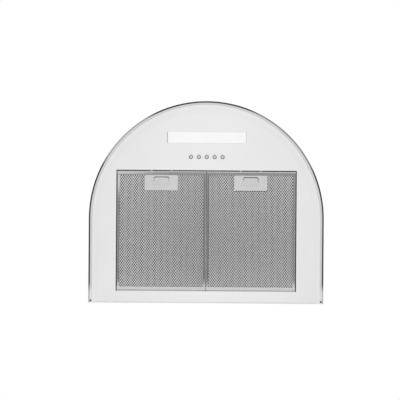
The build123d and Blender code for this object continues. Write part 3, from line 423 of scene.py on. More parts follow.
def roundPlan(profile):  # point = plan line + radius * outward direction, at the profile's height
    backY, outX, outY = planLine()
    radius = profile[:, 0]
    return joined(outX[:, None] * radius, backY[:, None] + outY[:, None] * radius, profile[:, 1])


# Dome shell
domeShell = dict(
    radius=shellHigh.x, bottom=shellLow.z, top=shellHigh.z, skirt=80.0 * mm, crownHalf=95.0 * mm,
    sheet=1.2 * mm, outletRadius=73.0 * mm, skirtSteps=5, curveSteps=33, ringSteps=6, rearSteps=17)


def domeProfile(radius, top):  # upright skirt, then a quarter of an ellipse up to the flat crown
    crown, skirt = domeShell["crownHalf"], domeShell["skirt"]
    upright = joined(radius, np.linspace(domeShell["bottom"], skirt, domeShell["skirtSteps"]))
    curve = arcPoints((crown, skirt), (radius - crown, top - skirt), 0, 90, domeShell["curveSteps"])
    return np.concatenate((upright, curve[1:]))


def crownRing(edge, z):  # straight lines from the crown's edge to the round outlet
    centre = np.array((0.0, (collarLow.y + collarHigh.y) / 2))
    half = domeShell["crownHalf"]
    rearX = np.linspace(half, -half, domeShell["rearSteps"])[1:-1]
    outline = np.concatenate((edge, joined(rearX, 0.0)))
    away = outline - centre
    hole = centre + domeShell["outletRadius"] * away / np.linalg.norm(away, axis=1, keepdims=True)
    share = np.linspace(0.0, 1.0, domeShell["ringSteps"])[None, :, None]
    flat = outline[:, None, :] * (1 - share) + hole[:, None, :] * share
    return joined(flat[..., 0], flat[..., 1], z)


def stripBetween(first, second, **closed):  # one row of faces between two lines
    return sheetPatch(np.stack((first, second)), **closed)


def makeDome():
    sheet, radius, top = domeShell["sheet"], domeShell["radius"], domeShell["top"]
    outside = roundPlan(domeProfile(radius, top))
    inside = roundPlan(domeProfile(radius - sheet, top - sheet))
    crown = crownRing(outside[:, -1, :2], top)
    ceiling = crownRing(inside[:, -1, :2], top - sheet)
    rearCount = domeShell["rearSteps"] - 1
    rearEdge = np.r_[np.arange(-rearCount, 0), 0]
    patches = [
        sheetPatch(outside), sheetPatch(inside),
        sheetPatch(crown, closeRows=True), sheetPatch(ceiling, closeRows=True),
        stripBetween(outside[:, 0], inside[:, 0]),
        stripBetween(outside[0], inside[0]), stripBetween(outside[-1], inside[-1]),
        stripBetween(crown[rearEdge, 0], ceiling[rearEdge, 0]),
        stripBetween(crown[:, -1], ceiling[:, -1], closeColumns=True),
    ]
    addPiece("hood_dome", patches, "hood", "white_enamel", ["dome_shell"])


makeDome()
print("dome made")

# Bright rim: one section carried round the plan line
rimTrim = dict(
    outer=rimHigh.x, inner=289.5 * mm, height=rimHigh.z, wall=2.8 * mm, floor=2.0 * mm, lip=1.2 * mm,
    lipTop=panelLow.z, roll=(4.8 * mm, 5.0 * mm), topRound=1.4 * mm, innerRound=0.25 * mm, innerSteps=5,
    rollSteps=19, topSteps=7)


def rimSection():
    spec = rimTrim
    outer, inner, height, floor = spec["outer"], spec["inner"], spec["height"], spec["floor"]
    leg, lip, lipTop = outer - spec["wall"], inner + spec["lip"], spec["lipTop"]
    small, top = spec["innerRound"], spec["topRound"]
    rollX, rollZ = spec["roll"]
    return np.concatenate((
        arcPoints((inner + small, small), (small, small), 180, 270, spec["innerSteps"]),
        arcPoints((outer - rollX, rollZ), (rollX, rollZ), 270, 360, spec["rollSteps"]),
        arcPoints((outer - top, height - top), (top, top), 0, 90, spec["topSteps"]),
        ((leg, height), (leg, floor), (lip, floor), (lip, lipTop), (inner, lipTop)),
    ))


def makeTrim():
    section = rimSection()
    points = roundPlan(section)
    uv = joined(runLength(points[:, 0])[:, None], runLength(section))  # along and across, in metres
    addPiece("rim_trim", [tubePatch(points, uv)], "hood", "bright_trim", ["trim_band"])


# Edge of the base panel, rolled down to meet the rim
panelEdge = dict(
    width=25.0 * mm, end=289.55 * mm, rearWidth=22.0 * mm, rearGroove=0.1 * mm, drop=5.6 * mm,
    rearDrop=2.6 * mm, sunk=0.1 * mm, steps=17)


def edgeProfile(start, end, drop):  # height follows half a cosine, so it leaves the panel and ends smoothly
    share = np.linspace(0.0, 1.0, panelEdge["steps"])
    height = panelLow.z - drop * (1 - np.cos(math.pi * share)) / 2
    face = joined(start + (end - start) * share, height)
    behind = panelLow.z + panelEdge["sunk"]
    return np.concatenate((face, ((end, behind), (start, behind))))


def makePanelEdge():  # one roll round the rim and a straight one along the wall
    spec = panelEdge
    rim = roundPlan(edgeProfile(spec["end"] - spec["width"], spec["end"], spec["drop"]))
    rim[..., 1] = np.minimum(rim[..., 1], panelHigh.y)
    rearEnd = panelHigh.y - spec["rearGroove"]
    section = edgeProfile(rearEnd - spec["rearWidth"], rearEnd, spec["rearDrop"])
    ends = np.array((-spec["end"], spec["end"]))
    rear = joined(ends[:, None], section[:, 0], section[:, 1])
    addPiece("panel_edge", [tubePatch(rim), tubePatch(rear)], "hood", "white_enamel", [], sharpTurn["rolled"])


makeTrim()
makePanelEdge()
print("trim made")

# Screws: a domed head with a cross recess, worked out on a polar grid, and a plain shank
screwHead = dict(
    turnSteps=48, rings=16, firstRing=0.02, lastRing=0.94, recessDeep=0.55, recessHalf=0.17, recessReach=0.62,
    sideSoft=0.06, endSoft=0.1, crown=0.3, shankShare=0.5)


def screwPoints(radius, height, shank):
    spec = screwHead
    ringShare = np.concatenate((np.linspace(spec["firstRing"], spec["lastRing"], spec["rings"]), (1.0,)))
    turn = np.linspace(0, 2 * math.pi, spec["turnSteps"], endpoint=False)
    x = ringShare[:, None] * np.cos(turn)
    y = ringShare[:, None] * np.sin(turn)
    narrow = np.minimum(np.abs(x), np.abs(y))
    reach = np.maximum(np.abs(x), np.abs(y))
    inCross = np.clip((spec["recessHalf"] - narrow) / spec["sideSoft"] + 0.5, 0, 1)
    inCross = inCross * np.clip((spec["recessReach"] - reach) / spec["endSoft"] + 0.5, 0, 1)
    crown = height * (1 - spec["crown"] * ringShare[:, None] ** 2)
    face = joined(x * radius, y * radius, crown - spec["recessDeep"] * height * inCross)
    thin = spec["shankShare"]
    lower = np.array(((1.0, 0.0), (thin, 0.0), (thin, -shank), (spec["firstRing"], -shank)))
    around = lower[:, :1] * radius
    return np.concatenate((face, joined(around * np.cos(turn), around * np.sin(turn), lower[:, 1:])))


def screwPatch(place, axis, side, radius, height, shank):  # head points along axis, side is one slot's way
    turnMatrix = np.stack((side, np.cross(axis, side), axis))
    return tubePatch(screwPoints(radius, height, shank) @ turnMatrix + place)


def slotAcross(axis, degrees):  # a direction square to the axis, turned so no two screws stop alike
    first = np.array((0.0, 1.0, 0.0)) if axis[2] else np.array((0.0, 0.0, 1.0))
    second = np.cross(axis, first)
    turn = math.radians(degrees)
    return first * math.cos(turn) + second * math.sin(turn)


rimScrews = dict(
    inset=6.6 * mm, setback=5.5 * mm, radius=2.5 * mm, height=0.9 * mm, shank=12.0 * mm, turns=(17, 62))
shellScrews = dict(
    setback=11.0 * mm, heights=(42.0 * mm, 59.0 * mm), radius=3.6 * mm, height=2.2 * mm, shank=9.0 * mm,
    turns=(8, 51, 33, 74))
collarScrews = dict(
    edge=9.0 * mm, flange=2.0 * mm, radius=3.6 * mm, height=2.4 * mm, shank=9.0 * mm, turns=(12, 40, 66, 81))


def screwSet(name, solid, spec, seats):  # a seat is a head's place and the way it points
    patches = []
    for (place, axis), turn in zip(seats, spec["turns"]):
        side = slotAcross(axis, turn)
        patches.append(screwPatch(place, axis, side, spec["radius"], spec["height"], spec["shank"]))
    addPiece(name, patches, "hood", "screw_steel", [solid])


def makeScrews():
    sides = (-1, 1)
    reach, setback = rimTrim["outer"] - rimScrews["inset"], rimScrews["setback"]
    seats = [((sideX * reach, -setback, 0.0), (0, 0, -1)) for sideX in sides]
    screwSet("rim_screw_pair", "trim_screws", rimScrews, seats)
    reach, setback, heights = domeShell["radius"], shellScrews["setback"], shellScrews["heights"]
    seats = [((sideX * reach, -setback, z), (sideX, 0, 0)) for sideX in sides for z in heights]
    screwSet("shell_screw_set", "shell_screws", shellScrews, seats)
    edge, seatZ = collarScrews["edge"], collarLow.z + collarScrews["flange"]
    xs = (collarLow.x + edge, collarHigh.x - edge)
    ys = (collarLow.y + edge, collarHigh.y - edge)
    seats = [((x, y, seatZ), (0, 0, 1)) for x in xs for y in ys]
    screwSet("collar_screw_set", "collar_screws", collarScrews, seats)


makeScrews()
print("screws made")

# Push buttons: one section turned about each button's own axis
pushButton = dict(
    count=5, radius=5.5 * mm, edge=2.2 * mm, crown=0.2 * mm, collar=7.2 * mm, collarThick=1.6 * mm,
    collarLift=0.3 * mm, plunger=2.0 * mm, axisGap=0.02 * mm, firstShare=0.02, faceSteps=6, edgeSteps=9,
    turnSteps=40)


def buttonSection(low, high):  # radius and height from the face's middle out, up and back to the axis
    spec = pushButton
    flat = spec["radius"] - spec["edge"]
    share = np.linspace(spec["firstShare"], 1.0, spec["faceSteps"])[:-1]
    face = joined(flat * share, low + spec["crown"] * share ** 2)
    edgeZ = low + spec["crown"] + spec["edge"]
    edge = arcPoints((flat, edgeZ), (spec["edge"], spec["edge"]), -90, 0, spec["edgeSteps"])
    collarZ = panelLow.z + domeShell["sheet"] + spec["collarLift"]
    collarTop = collarZ + spec["collarThick"]
    rest = ((spec["radius"], collarZ), (spec["collar"], collarZ), (spec["collar"], collarTop),
            (spec["plunger"], collarTop), (spec["plunger"], high), (spec["axisGap"], high))
    return np.concatenate((face, edge, rest))


def makeButton(number):
    body = f"button_{number}"
    low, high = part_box(body)
    section = buttonSection(low.z, high.z)
    turn = np.linspace(0, 2 * math.pi, pushButton["turnSteps"], endpoint=False)
    x = (low.x + high.x) / 2 + section[:, :1] * np.cos(turn)
    y = (low.y + high.y) / 2 + section[:, :1] * np.sin(turn)
    patch = tubePatch(joined(x, y, section[:, 1:]), joined(turn, runLength(section)[:, None]))
    addPiece(f"button_cap_{number}", [patch], body, "button_metal", [body], sharpTurn["rolled"])


for number in range(1, pushButton["count"] + 1):
    makeButton(number)
print("buttons made")

# Filter frame: four rails whose faces rise towards the mesh, butted at the corners, and a hooked rear lip
filterRail = dict(
    sheet=0.8 * mm, play=0.3 * mm, outerZ=5.5 * mm, edge=1.0 * mm, backGap=0.2 * mm, flatEnd=0.3,
    railSteps=41, faceSteps=13, cornerSteps=6, slotLow=7.8 * mm, slotHigh=10.1 * mm, slotWidth=6.8 * mm,
    slotSpacing=51.0 * mm, hookInset=0.5 * mm, hookReach=6.2 * mm, hookZ=7.9 * mm, hookSteps=7,
    noseReach=1.7 * mm, noseZ=6.3 * mm, noseRound=0.25 * mm, noseSteps=5)
# Each rail's face: its width, outer round and slope, the strip left level and the strip in full slope
evenFace = dict(level=0.0, firm=0.0)
railFaces = dict(
    front=dict(width=10.5 * mm, edge=1.2 * mm, lean=0.171, level=2.2 * mm, firm=1.7 * mm),
    rear=dict(evenFace, width=8.3 * mm, edge=0.3 * mm, lean=0.032),
    outer=dict(evenFace, width=6.5 * mm, edge=1.0 * mm, lean=0.178),
    leftInner=dict(evenFace, width=7.2 * mm, edge=0.5 * mm, lean=0.15),
    rightInner=dict(evenFace, width=6.0 * mm, edge=0.5 * mm, lean=0.15))
# Lengths at the two ends of each rail over which its slope is less
usualEase = (0.0, 15.0 * mm)
railEase = dict(
    left=dict(front=(150.0 * mm, 0.0), rear=usualEase, outer=(70.0 * mm, 15.0 * mm), inner=usualEase),
    right=dict(front=(0.0, 0.0), rear=usualEase, outer=usualEase, inner=usualEase))


def lowerRail(width, edge):  # wall foot, rounded corner, level face and the way back
    spec = filterRail
    sheet, low = spec["sheet"], spec["outerZ"]
    face = joined(np.linspace(edge, width, spec["faceSteps"]), low)
    back = (face + (0.0, sheet))[::-1]
    back[-1, 0] = edge + spec["backGap"]
    corner = arcPoints((edge, low + edge), (edge, edge), 180, 270, spec["cornerSteps"])[:-1]
    inner = ((sheet, low + edge + sheet), (sheet, spec["slotLow"]))
    return np.concatenate((((0.0, spec["slotLow"]),), corner, face, back, inner))


def upperRail(width, top):  # wall head and the flat upper flange
    spec = filterRail
    sheet, edge, foot = spec["sheet"], spec["edge"], spec["slotHigh"]
    corner = arcPoints((edge, top - edge), (edge, edge), 90, 180, spec["cornerSteps"])
    inside = ((sheet, foot), (sheet, top - sheet), (width, top - sheet), (width, top))
    return np.concatenate((inside, corner, ((0.0, foot),)))


def wallStrip():
    sheet, low, high = filterRail["sheet"], filterRail["slotLow"], filterRail["slotHigh"]
    return np.array(((0.0, low), (sheet, low), (sheet, high), (0.0, high)))


def fadeIn(distance, length):  # nought at the end, one from the given length on
    return np.clip(distance / length, 0, 1) if length else np.ones_like(distance)


def railPatch(section, ends, origin, inward, lean=0.0, level=0.0, ease=(0.0, 0.0), firm=0.0):
    # Section stands across the rail and is carried from end to end; past the level strip its face rises
    # with the slope lean, less near both ends over the two ease lengths, but in full along a firm inner strip
    spec = filterRail
    start, end = ends
    along = np.linspace(start, end, spec["railSteps"] if lean else 2)
    inward = np.array(inward, dtype=float)
    lengthways = np.abs(inward[::-1])
    flat = np.array(origin) + along[:, None, None] * lengthways + section[None, :, :1] * inward
    toEnd = np.minimum(fadeIn(along - start, ease[0]), fadeIn(end - along, ease[1]))
    eased = spec["flatEnd"] + (1 - spec["flatEnd"]) * toEnd * toEnd * (3 - 2 * toEnd)
    leaning = np.maximum(section[:, 0] - spec["edge"] - level, 0.0)
    inner = np.maximum(leaning - leaning.max() + firm, 0.0)
    z = section[:, 1] + lean * (eased[:, None] * (leaning - inner) + inner)
    return tubePatch(joined(flat[..., 0], flat[..., 1], z), joined(along[:, None], runLength(section)))


def hookSection():  # nose that nearly meets the panel's edge, and above it the lip that hooks over the panel
    spec = filterRail
    half, small = spec["sheet"] / 2, spec["noseRound"]
    nose, under, over = spec["noseReach"], spec["hookZ"] - half, spec["hookZ"] + half
    foot = arcPoints((nose - small, spec["noseZ"] + small), (small, small), -90, 0, spec["noseSteps"])
    tip = arcPoints((spec["hookReach"] - half, spec["hookZ"]), (half, half), -90, 90, spec["hookSteps"])
    return np.concatenate((((0.0, spec["noseZ"]),), foot, ((nose, under),), tip, ((0.0, over),)))


def railRear(side):  # where the rear rail's wall stands
    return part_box(f"{side}_filter_mesh")[1].y + filterRail["sheet"] + filterRail["play"]


def filterPiece(side, label, patches, replaced, finish=None):  # a piece that rides on one of the filters
    body = f"{side}_filter"
    solids = [f"{body}_{solid}" for solid in replaced]
    addPiece(f"{body}_{label}", patches, body, "filter_aluminium", solids, sharpTurn["thin"], finish)


def makeRails(side):
    spec = filterRail
    low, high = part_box(f"{side}_filter_frame")
    rear = railRear(side)
    slideLow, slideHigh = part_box(f"{side}_latch_slider")
    latchX = (slideLow.x + slideHigh.x) / 2
    stops = [low.x]
    for offset in (-spec["slotSpacing"] / 2, spec["slotSpacing"] / 2):
        stops += [latchX + offset - spec["slotWidth"] / 2, latchX + offset + spec["slotWidth"] / 2]
    stops.append(high.x)
    across = (low.x, high.x)
    between = (low.y + railFaces["front"]["width"], rear - railFaces["rear"]["width"])
    outer, inner = ((low.x, 0.0), (1, 0)), ((high.x, 0.0), (-1, 0))
    if side == "right":
        outer, inner = inner, outer
    rails = (
        (railFaces["front"], "front", across, (0.0, low.y), (0, 1)),
        (railFaces["rear"], "rear", across, (0.0, rear), (0, -1)),
        (railFaces["outer"], "outer", between, *outer),
        (railFaces[f"{side}Inner"], "inner", between, *inner))
    patches = []
    for face, place, ends, origin, inward in rails:
        shape = (face["lean"], face["level"], railEase[side][place], face["firm"])
        patches.append(railPatch(lowerRail(face["width"], face["edge"]), ends, origin, inward, *shape))
        patches.append(railPatch(upperRail(face["width"], high.z), ends, origin, inward))
        spans = zip(stops[::2], stops[1::2]) if place == "front" else [ends]
        patches += [railPatch(wallStrip(), span, origin, inward) for span in spans]
    hookEnds = (low.x + spec["hookInset"], high.x - spec["hookInset"])
    patches.append(railPatch(hookSection(), hookEnds, (0.0, rear), (0, 1)))
    filterPiece(side, "rails", patches, ["frame"])


# Expanded metal: zigzag strands that meet in double-width bonds
sectionCorners = 4
faceMesh = dict(
    pitchAcross=6.0 * mm, pitchAlong=7.94 * mm, strand=1.24 * mm, sheet=0.4 * mm, tilt=math.radians(1),
    bond=0.9 * mm, z=7.95 * mm, wave=0.0, waveLength=60.0 * mm, underRail=3.0 * mm, holeMargin=1.4 * mm)
rippleSlant = 0.4  # how far a sheet's ripples lean along y
# How a sheet is cut: its pattern's lean and shift, and shares of the strand's width (widen is per metre)
straightCut = dict(lean=0.0, shift=(0.0, 0.0), width=1.0, front=0.0, rear=0.0, widen=0.0, about=0.0)
faceCut = dict(straightCut, width=0.946, front=0.15, rear=0.11)
faceCuts = {
    "left": dict(faceCut, lean=0.0101, shift=(1.4 * mm, 2.04 * mm), widen=-0.95, about=-89.0 * mm),
    "right": dict(faceCut, lean=0.0071, shift=(-0.71 * mm, 1.13 * mm), widen=0.42, about=87.0 * mm)}
narrowest = dict(y=archY + 73.0 * mm, frontReach=168.0 * mm, rearReach=84.0 * mm)


def strandWidth(spec, cut, x, y):  # grows with the square of the distance to front and rear, evenly with x
    past = y - narrowest["y"]
    front = cut["front"] * (past / narrowest["frontReach"]) ** 2
    rear = cut["rear"] * (past / narrowest["rearReach"]) ** 2
    ends = np.where(past < 0, front, rear)
    return spec["strand"] * (cut["width"] + ends + cut["widen"] * (x - cut["about"]))


def strandField(spec, cut, index, ends):
    # Strand k runs along y and swings in x by (-1)^k times a flat-topped zigzag; its section is a tilted
    # strip. The pattern is shifted and leans a little, x growing by the lean times y. Its height follows a
    # gentle sine across the sheet
    period = spec["pitchAlong"]
    flat = spec["bond"] / 2
    turns = np.arange(math.floor(ends[0] / period) - 1, math.ceil(ends[1] / period) + 2)
    knots = np.array((-flat, flat, period / 2 - flat, period / 2 + flat))
    y = (turns[:, None] * period + knots).ravel() + cut["shift"][1]
    wave = np.tile((1.0, 1.0, -1.0, -1.0), len(turns))
    kept = (y > ends[0]) & (y < ends[1])
    y, wave = y[kept], wave[kept]
    rowX = index * spec["pitchAcross"] / 2 + cut["shift"][0]
    parity = np.where(index % 2 == 0, 1.0, -1.0)
    halfWide, halfThick = strandWidth(spec, cut, rowX[:, None], y) / 2, spec["sheet"] / 2
    swing = spec["pitchAcross"] / 4 - halfWide
    centreX = rowX[:, None] + swing * parity[:, None] * wave + cut["lean"] * (y - archY)
    ripple = np.sin(2 * math.pi * (centreX + rippleSlant * y) / spec["waveLength"])
    centreZ = spec["z"] + spec["wave"] * ripple
    cosTilt, sinTilt = math.cos(spec["tilt"]), math.sin(spec["tilt"])
    aside = halfWide[..., None] * np.array((-1.0, 1.0, 1.0, -1.0))
    above = halfThick * np.array((-1.0, -1.0, 1.0, 1.0))
    x = centreX[..., None] + aside * cosTilt - above * sinTilt
    z = centreZ[..., None] + aside * sinTilt + above * cosTilt
    points = joined(x, y[:, None], z)
    rows, knotCount = centreX.shape
    one = gridQuads(knotCount, sectionCorners, closeColumns=True)
    starts = (np.arange(rows) * knotCount * sectionCorners)[:, None]
    body = (one[None] + starts[..., None]).reshape(-1, 4)
    firstCap = np.arange(sectionCorners)[None] + starts
    lastCap = firstCap + (knotCount - 1) * sectionCorners
    uv = joined(y[:, None], rowX[:, None, None] + np.arange(sectionCorners) * spec["strand"] / 2)
    return points.reshape(-1, 3), [body, firstCap, lastCap], uv


def fieldPatches(spec, cut, side):  # full strands beside the latch, short ones behind it
    frameLow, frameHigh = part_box(f"{side}_filter_frame")
    latchLow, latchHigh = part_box(f"{side}_latch_plate")
    tuck, margin = faceMesh["underRail"], faceMesh["holeMargin"]
    lowX = frameLow.x + railFaces["outer"]["width"] - tuck
    highX = frameHigh.x - railFaces["outer"]["width"] + tuck
    front = frameLow.y + railFaces["front"]["width"] - tuck
    rear = railRear(side) - railFaces["rear"]["width"] + tuck
    step, shift = spec["pitchAcross"] / 2, cut["shift"][0]
    index = np.arange(math.ceil((lowX - shift) / step), math.floor((highX - shift) / step) + 1)
    atLatch = index * step + shift + cut["lean"] * ((latchLow.y + latchHigh.y) / 2 - archY)
    behindLatch = (atLatch > latchLow.x + margin) & (atLatch < latchHigh.x - margin)
    latchRear = latchHigh.y - margin
    return [strandField(spec, cut, index[~behindLatch], (front, rear)),
            strandField(spec, cut, index[behindLatch], (latchRear, rear))]


# Inner sheets, gently rippled across their width
filterLayers = (
    dict(pitchAcross=7.0 * mm, pitchAlong=9.0 * mm, strand=3.3 * mm, sheet=0.35 * mm, tilt=math.radians(-10),
         bond=1.1 * mm, z=9.6 * mm, wave=0.5 * mm, waveLength=34.0 * mm),
    dict(pitchAcross=6.4 * mm, pitchAlong=8.4 * mm, strand=1.8 * mm, sheet=0.35 * mm, tilt=math.radians(26),
         bond=1.1 * mm, z=11.4 * mm, wave=0.5 * mm, waveLength=27.0 * mm),
)
backMesh = dict(faceMesh, z=13.2 * mm, wave=0.12 * mm)

# Latch slide: a thin pull that laps over the plate, a bar behind the plate and two spring-loaded tongues
latchSlide = dict(
    pullWidth=36.3 * mm, pullLength=20.0 * mm, pullBehind=5.7 * mm, proud=0.8 * mm, sheet=0.7 * mm,
    corner=4.5 * mm, cornerSteps=7, sideSteps=12, edge=0.33 * mm, edgeSteps=4, faceEdges=4,
    flareWidth=2.7 * mm, flareStart=8.6 * mm, flareEnd=13.6 * mm, thinShare=0.15, stemWidth=27.0 * mm,
    stemLength=12.0 * mm, stemBehind=7.9 * mm, barBehind=7.0 * mm, barLow=2.4 * mm, tongueWidth=6.0 * mm,
    tongueSpacing=51.0 * mm, tongueSheet=1.5 * mm, tongueRoot=1.0 * mm, bevel=0.3 * mm, bevelSteps=3)


def roundedOutline(halfX, halfY, corner, steps, sideSteps=0):  # once round a rectangle with round corners
    centres = ((halfX, halfY, 0), (-halfX, halfY, 90), (-halfX, -halfY, 180), (halfX, -halfY, 270))
    share = np.linspace(0.0, 1.0, sideSteps + 2)[1:-1, None]
    arcs = []
    for x, y, start in centres:
        middle = (x - math.copysign(corner, x), y - math.copysign(corner, y))
        arcs.append(arcPoints(middle, (corner, corner), start, start + 90, steps))
    outline = []
    for arc, following in zip(arcs, arcs[1:] + arcs[:1]):
        outline += [arc, arc[-1] + (following[0] - arc[-1]) * share]
    return np.concatenate(outline)


def pullPatch(middle, plateZ):
    # Rounded outline, drawn in by a small curve at both faces; towards its rear it widens over the plate
    # and thins out
    spec = latchSlide
    halfX, halfY, edge = spec["pullWidth"] / 2, spec["pullLength"] / 2, spec["edge"]
    low = plateZ - spec["proud"]
    top = low + spec["sheet"]
    inside = spec["faceEdges"] * edge
    lower = arcPoints((edge, low + edge), (edge, edge), 270, 180, spec["edgeSteps"])
    upper = arcPoints((edge, top - edge), (edge, edge), 180, 90, spec["edgeSteps"])
    steps = np.concatenate((((inside, low),), lower, upper, ((inside, top),)))
    cuts = (spec["cornerSteps"], spec["sideSteps"])
    rings = np.stack([roundedOutline(halfX - inset, halfY - inset, spec["corner"] - inset, *cuts)
                      for inset in steps[:, 0]])
    behind = rings[..., 1] + halfY
    flare = np.clip((behind - spec["flareStart"]) / (spec["flareEnd"] - spec["flareStart"]), 0, 1)
    x = rings[..., 0] * (1 + flare * flare * (3 - 2 * flare) * spec["flareWidth"] / halfX)
    z = top + (steps[:, 1:] - top) * (1 - (1 - spec["thinShare"]) * behind / spec["pullLength"])
    return tubePatch(joined(x + middle[0], rings[..., 1] + middle[1], z))


def blockPatch(low, high, bevel):  # bevelled bar lying along y
    halfX, halfZ = (high[0] - low[0]) / 2, (high[2] - low[2]) / 2
    section = roundedOutline(halfX, halfZ, bevel, latchSlide["bevelSteps"])
    section += ((low[0] + high[0]) / 2, (low[2] + high[2]) / 2)
    ends = np.array((low[1], high[1]))
    return tubePatch(joined(section[:, 0], ends[:, None], section[:, 1]))


def makeLatch(side):
    spec = latchSlide
    low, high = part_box(f"{side}_latch_slider")
    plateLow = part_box(f"{side}_latch_plate")[0]
    middle = (low.x + high.x) / 2
    barFront, barLow = plateLow.y + spec["barBehind"], plateLow.z + spec["barLow"]
    stemFront, stemHalf = plateLow.y + spec["stemBehind"], spec["stemWidth"] / 2
    stemStart = (middle - stemHalf, stemFront, plateLow.z - spec["proud"] + spec["sheet"])
    stemEnd = (middle + stemHalf, stemFront + spec["stemLength"], barLow)
    patches = [
        pullPatch((middle, plateLow.y + spec["pullBehind"] + spec["pullLength"] / 2), plateLow.z),
        blockPatch(stemStart, stemEnd, spec["bevel"]),
        blockPatch((low.x, barFront, barLow), (high.x, high.y, high.z), spec["bevel"]),
    ]
    for offset in (-spec["tongueSpacing"] / 2, spec["tongueSpacing"] / 2):
        start = (middle + offset - spec["tongueWidth"] / 2, low.y, high.z - spec["tongueSheet"])
        end = (middle + offset + spec["tongueWidth"] / 2, barFront + spec["tongueRoot"], high.z)
        patches.append(blockPatch(start, end, spec["bevel"]))
    addPiece(f"{side}_latch_slide", patches, f"{side}_latch", "latch_steel", [f"{side}_latch_slider"],
             sharpTurn["thin"])


# Latch springs: two coils of round wire in the springs' place between the slide and the filter, not attached
# to either
latchSpring = dict(wire=0.5 * mm, radius=1.6 * mm, turns=5, spacing=60.0 * mm, turnSteps=24, wireSteps=10)


def makeSprings(side):  # round wire whose middle runs on a helix along y
    spec = latchSpring
    low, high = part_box(f"{side}_latch_springs")
    middleX, middleZ = (low.x + high.x) / 2, (low.z + high.z) / 2
    turn = np.linspace(0.0, 2 * math.pi * spec["turns"], spec["turns"] * spec["turnSteps"] + 1)
    y = np.linspace(low.y + spec["wire"] / 2, high.y - spec["wire"] / 2, len(turn))
    rise = (y[-1] - y[0]) / turn[-1]
    outward = joined(np.cos(turn), 0.0, np.sin(turn))
    ahead = joined(-spec["radius"] * np.sin(turn), rise, spec["radius"] * np.cos(turn))
    sideways = np.cross(ahead / np.linalg.norm(ahead, axis=-1, keepdims=True), outward)
    about = np.linspace(0.0, 2 * math.pi, spec["wireSteps"], endpoint=False)
    section = np.cos(about)[:, None] * outward[:, None] + np.sin(about)[:, None] * sideways[:, None]
    path = spec["radius"] * outward + joined(0.0, y, middleZ)
    points = path[:, None] + section * spec["wire"] / 2
    apart = spec["spacing"] / 2
    patches = [tubePatch(points + (middleX + offset, 0.0, 0.0)) for offset in (-apart, apart)]
    piece = addPiece(f"{side}_latch_coils", patches, None, "spring_steel", [f"{side}_latch_springs"])
    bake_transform(piece)


for side in ("left", "right"):
    makeRails(side)
    makeLatch(side)
    makeSprings(side)
    filterPiece(side, "face", fieldPatches(faceMesh, faceCuts[side], side), ["mesh"], "face_strands")
    layered = [patch for layer in filterLayers for patch in fieldPatches(layer, straightCut, side)]
    # the inner sheets take the foil colour that holds the painted shade
    filterPiece(side, "layers", layered, ["pad"], "shaded_inner_foil")
    filterPiece(side, "back", fieldPatches(backMesh, faceCuts[side], side), [], "face_strands")
print("filters made")

# Camera straight below, turned as the photograph is
photoView = dict(
    imagePixels=400, metresPerPixel=2.539 * mm, archPixel=(205.8, 218.19), roll=math.radians(0.42),
    distance=3.0, sensor=36.0)


def placeCamera():
    view = photoView
    middle = (view["imagePixels"] - 1) / 2
    right = (middle - view["archPixel"][0]) * view["metresPerPixel"]
    down = (middle - view["archPixel"][1]) * view["metresPerPixel"]
    x = right * math.cos(view["roll"]) + down * math.sin(view["roll"])
    y = archY + down * math.cos(view["roll"]) - right * math.sin(view["roll"])
    data = bpy.data.cameras.new("photo view")
    data.sensor_width = view["sensor"]
    data.lens = view["sensor"] * view["distance"] / (view["imagePixels"] * view["metresPerPixel"])
    camera = bpy.data.objects.new("photo view", data)
    camera.location = (x, y, -view["distance"])
    camera.rotation_euler = (math.pi, 0.0, -view["roll"])
    scene.collection.objects.link(camera)
    scene.camera = camera


# Soft studio: an even white surround, with darker sides that only the bright metal mirrors
studio = dict(
    below=0.53, above=0.6, mirrorBelow=0.77, sideDark=0.08, sideFall=(0.1, 0.36), rearDark=0.4,
    rearFall=(0.02, 0.28), frontDark=0.08, frontFall=(0.14, 0.4), cornerBox=0.48, cornerSlant=(0.38, 0.47),
    cornerSpread=(0.03, 0.3), rightCorner=0.65, rightWiden=0.05, leftToRight=(-0.2, 0.2), ceiling=0.7,
    ceilingRise=(0.5, 0.95), fillEnergy=6.85, fillSize=(0.3, 2.9), fillPlace=(0.0, -0.185, -0.85),
    keyEnergy=60.0, keySize=(1.6, 1.6), keyPlace=(-1.6, -2.2, 2.2), floorDrop=0.25, floorSize=120.0)
paleFloor = dict(
    dark=grey(0.86), light=grey(0.9), rough=(0.6, 0.7), mottle=1.5, peel=60.0, depth=0.0002)


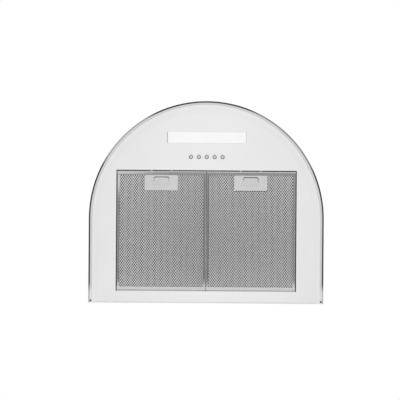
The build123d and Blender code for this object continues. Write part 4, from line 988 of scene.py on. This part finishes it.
def makeWorld():
    spec = studio
    world = bpy.data.worlds.new("soft studio")
    world.use_nodes = True
    world.cycles.sampling_method = "NONE"
    scene.world = world
    tree = world.node_tree
    direction = tree.nodes.new("ShaderNodeTexCoord").outputs["Generated"]
    split = addNode(tree, "ShaderNodeSeparateXYZ", {0: direction}).outputs
    aside = calc(tree, "ABSOLUTE", split["X"])
    forward = calc(tree, "MAXIMUM", calc(tree, "MULTIPLY", split["Y"], -1.0), 0.0)
    sideFall = ramp(tree, aside, *spec["sideFall"], 1.0, spec["sideDark"])
    rearFall = ramp(tree, split["Y"], *spec["rearFall"], 1.0, spec["rearDark"])
    frontFall = ramp(tree, forward, *spec["frontFall"], 1.0, spec["frontDark"])
    mirrored = calc(tree, "MULTIPLY", calc(tree, "MULTIPLY", sideFall, rearFall), frontFall)
    spread = calc(tree, "MULTIPLY_ADD", aside, aside, calc(tree, "MULTIPLY", forward, forward))
    # Slant is a half where the direction leans aside as much as forward; the divisor is kept off zero
    slant = calc(tree, "DIVIDE", calc(tree, "MULTIPLY", aside, forward), calc(tree, "MAXIMUM", spread, 0.001))
    across = spec["leftToRight"]
    slant = calc(tree, "ADD", slant, ramp(tree, split["X"], *across, 0.0, spec["rightWiden"]))
    corner = ramp(tree, slant, *spec["cornerSlant"], 0.0, spec["cornerBox"])
    corner = calc(tree, "MULTIPLY", corner, ramp(tree, spread, *spec["cornerSpread"], 0.0, 1.0))
    corner = calc(tree, "MULTIPLY", corner, ramp(tree, split["X"], *across, 1.0, spec["rightCorner"]))
    ceiling = ramp(tree, split["Z"], *spec["ceilingRise"], 0.0, spec["ceiling"])
    glossy = calc(tree, "MULTIPLY_ADD", mirrored, spec["mirrorBelow"], calc(tree, "ADD", corner, ceiling))
    soft = ramp(tree, split["Z"], -1.0, 1.0, spec["below"], spec["above"])
    path = tree.nodes.new("ShaderNodeLightPath").outputs
    fresh = calc(tree, "LESS_THAN", path["Diffuse Depth"], 0.5)
    mirror = calc(tree, "MULTIPLY", path["Is Glossy Ray"], fresh)
    lit = addNode(tree, "ShaderNodeMix", {0: mirror, 2: soft, 3: glossy}).outputs[0]
    seen = addNode(tree, "ShaderNodeMix", {0: path["Is Camera Ray"], 2: lit, 3: 1.0}).outputs[0]
    tree.links.new(seen, tree.nodes["Background"].inputs["Color"])


def makeStage():
    half = studio["floorSize"] / 2
    drop = -photoView["distance"] - studio["floorDrop"]
    mesh = bpy.data.meshes.new("floor")
    corners = [(-half, -half, drop), (half, -half, drop), (half, half, drop), (-half, half, drop)]
    mesh.from_pydata(corners, [], [(0, 1, 2, 3)])
    floor = bpy.data.objects.new("floor", mesh)
    scene.collection.objects.link(floor)
    mesh.materials.append(skinFinish("pale floor", paleFloor))
    floor.visible_diffuse = False
    floor.visible_glossy = False
    floor.visible_shadow = False
    for lampName in ("key", "fill"):
        data = bpy.data.lights.new(lampName, "AREA")
        data.energy = studio[f"{lampName}Energy"]
        data.shape = "RECTANGLE"
        data.size, data.size_y = studio[f"{lampName}Size"]
        lamp = bpy.data.objects.new(lampName, data)
        lamp.location = studio[f"{lampName}Place"]
        aim = np.array((0.0, archY, domeShell["skirt"])) - studio[f"{lampName}Place"]
        yaw = math.atan2(aim[1], aim[0]) - math.pi / 2
        pitch = math.atan2(math.hypot(aim[0], aim[1]), -aim[2])
        lamp.rotation_euler = (pitch, 0.0, yaw)
        lamp.visible_camera = False
        lamp.visible_glossy = False
        scene.collection.objects.link(lamp)


placeCamera()
makeWorld()
makeStage()
scene.view_settings.view_transform = "Standard"
print("camera and studio made")
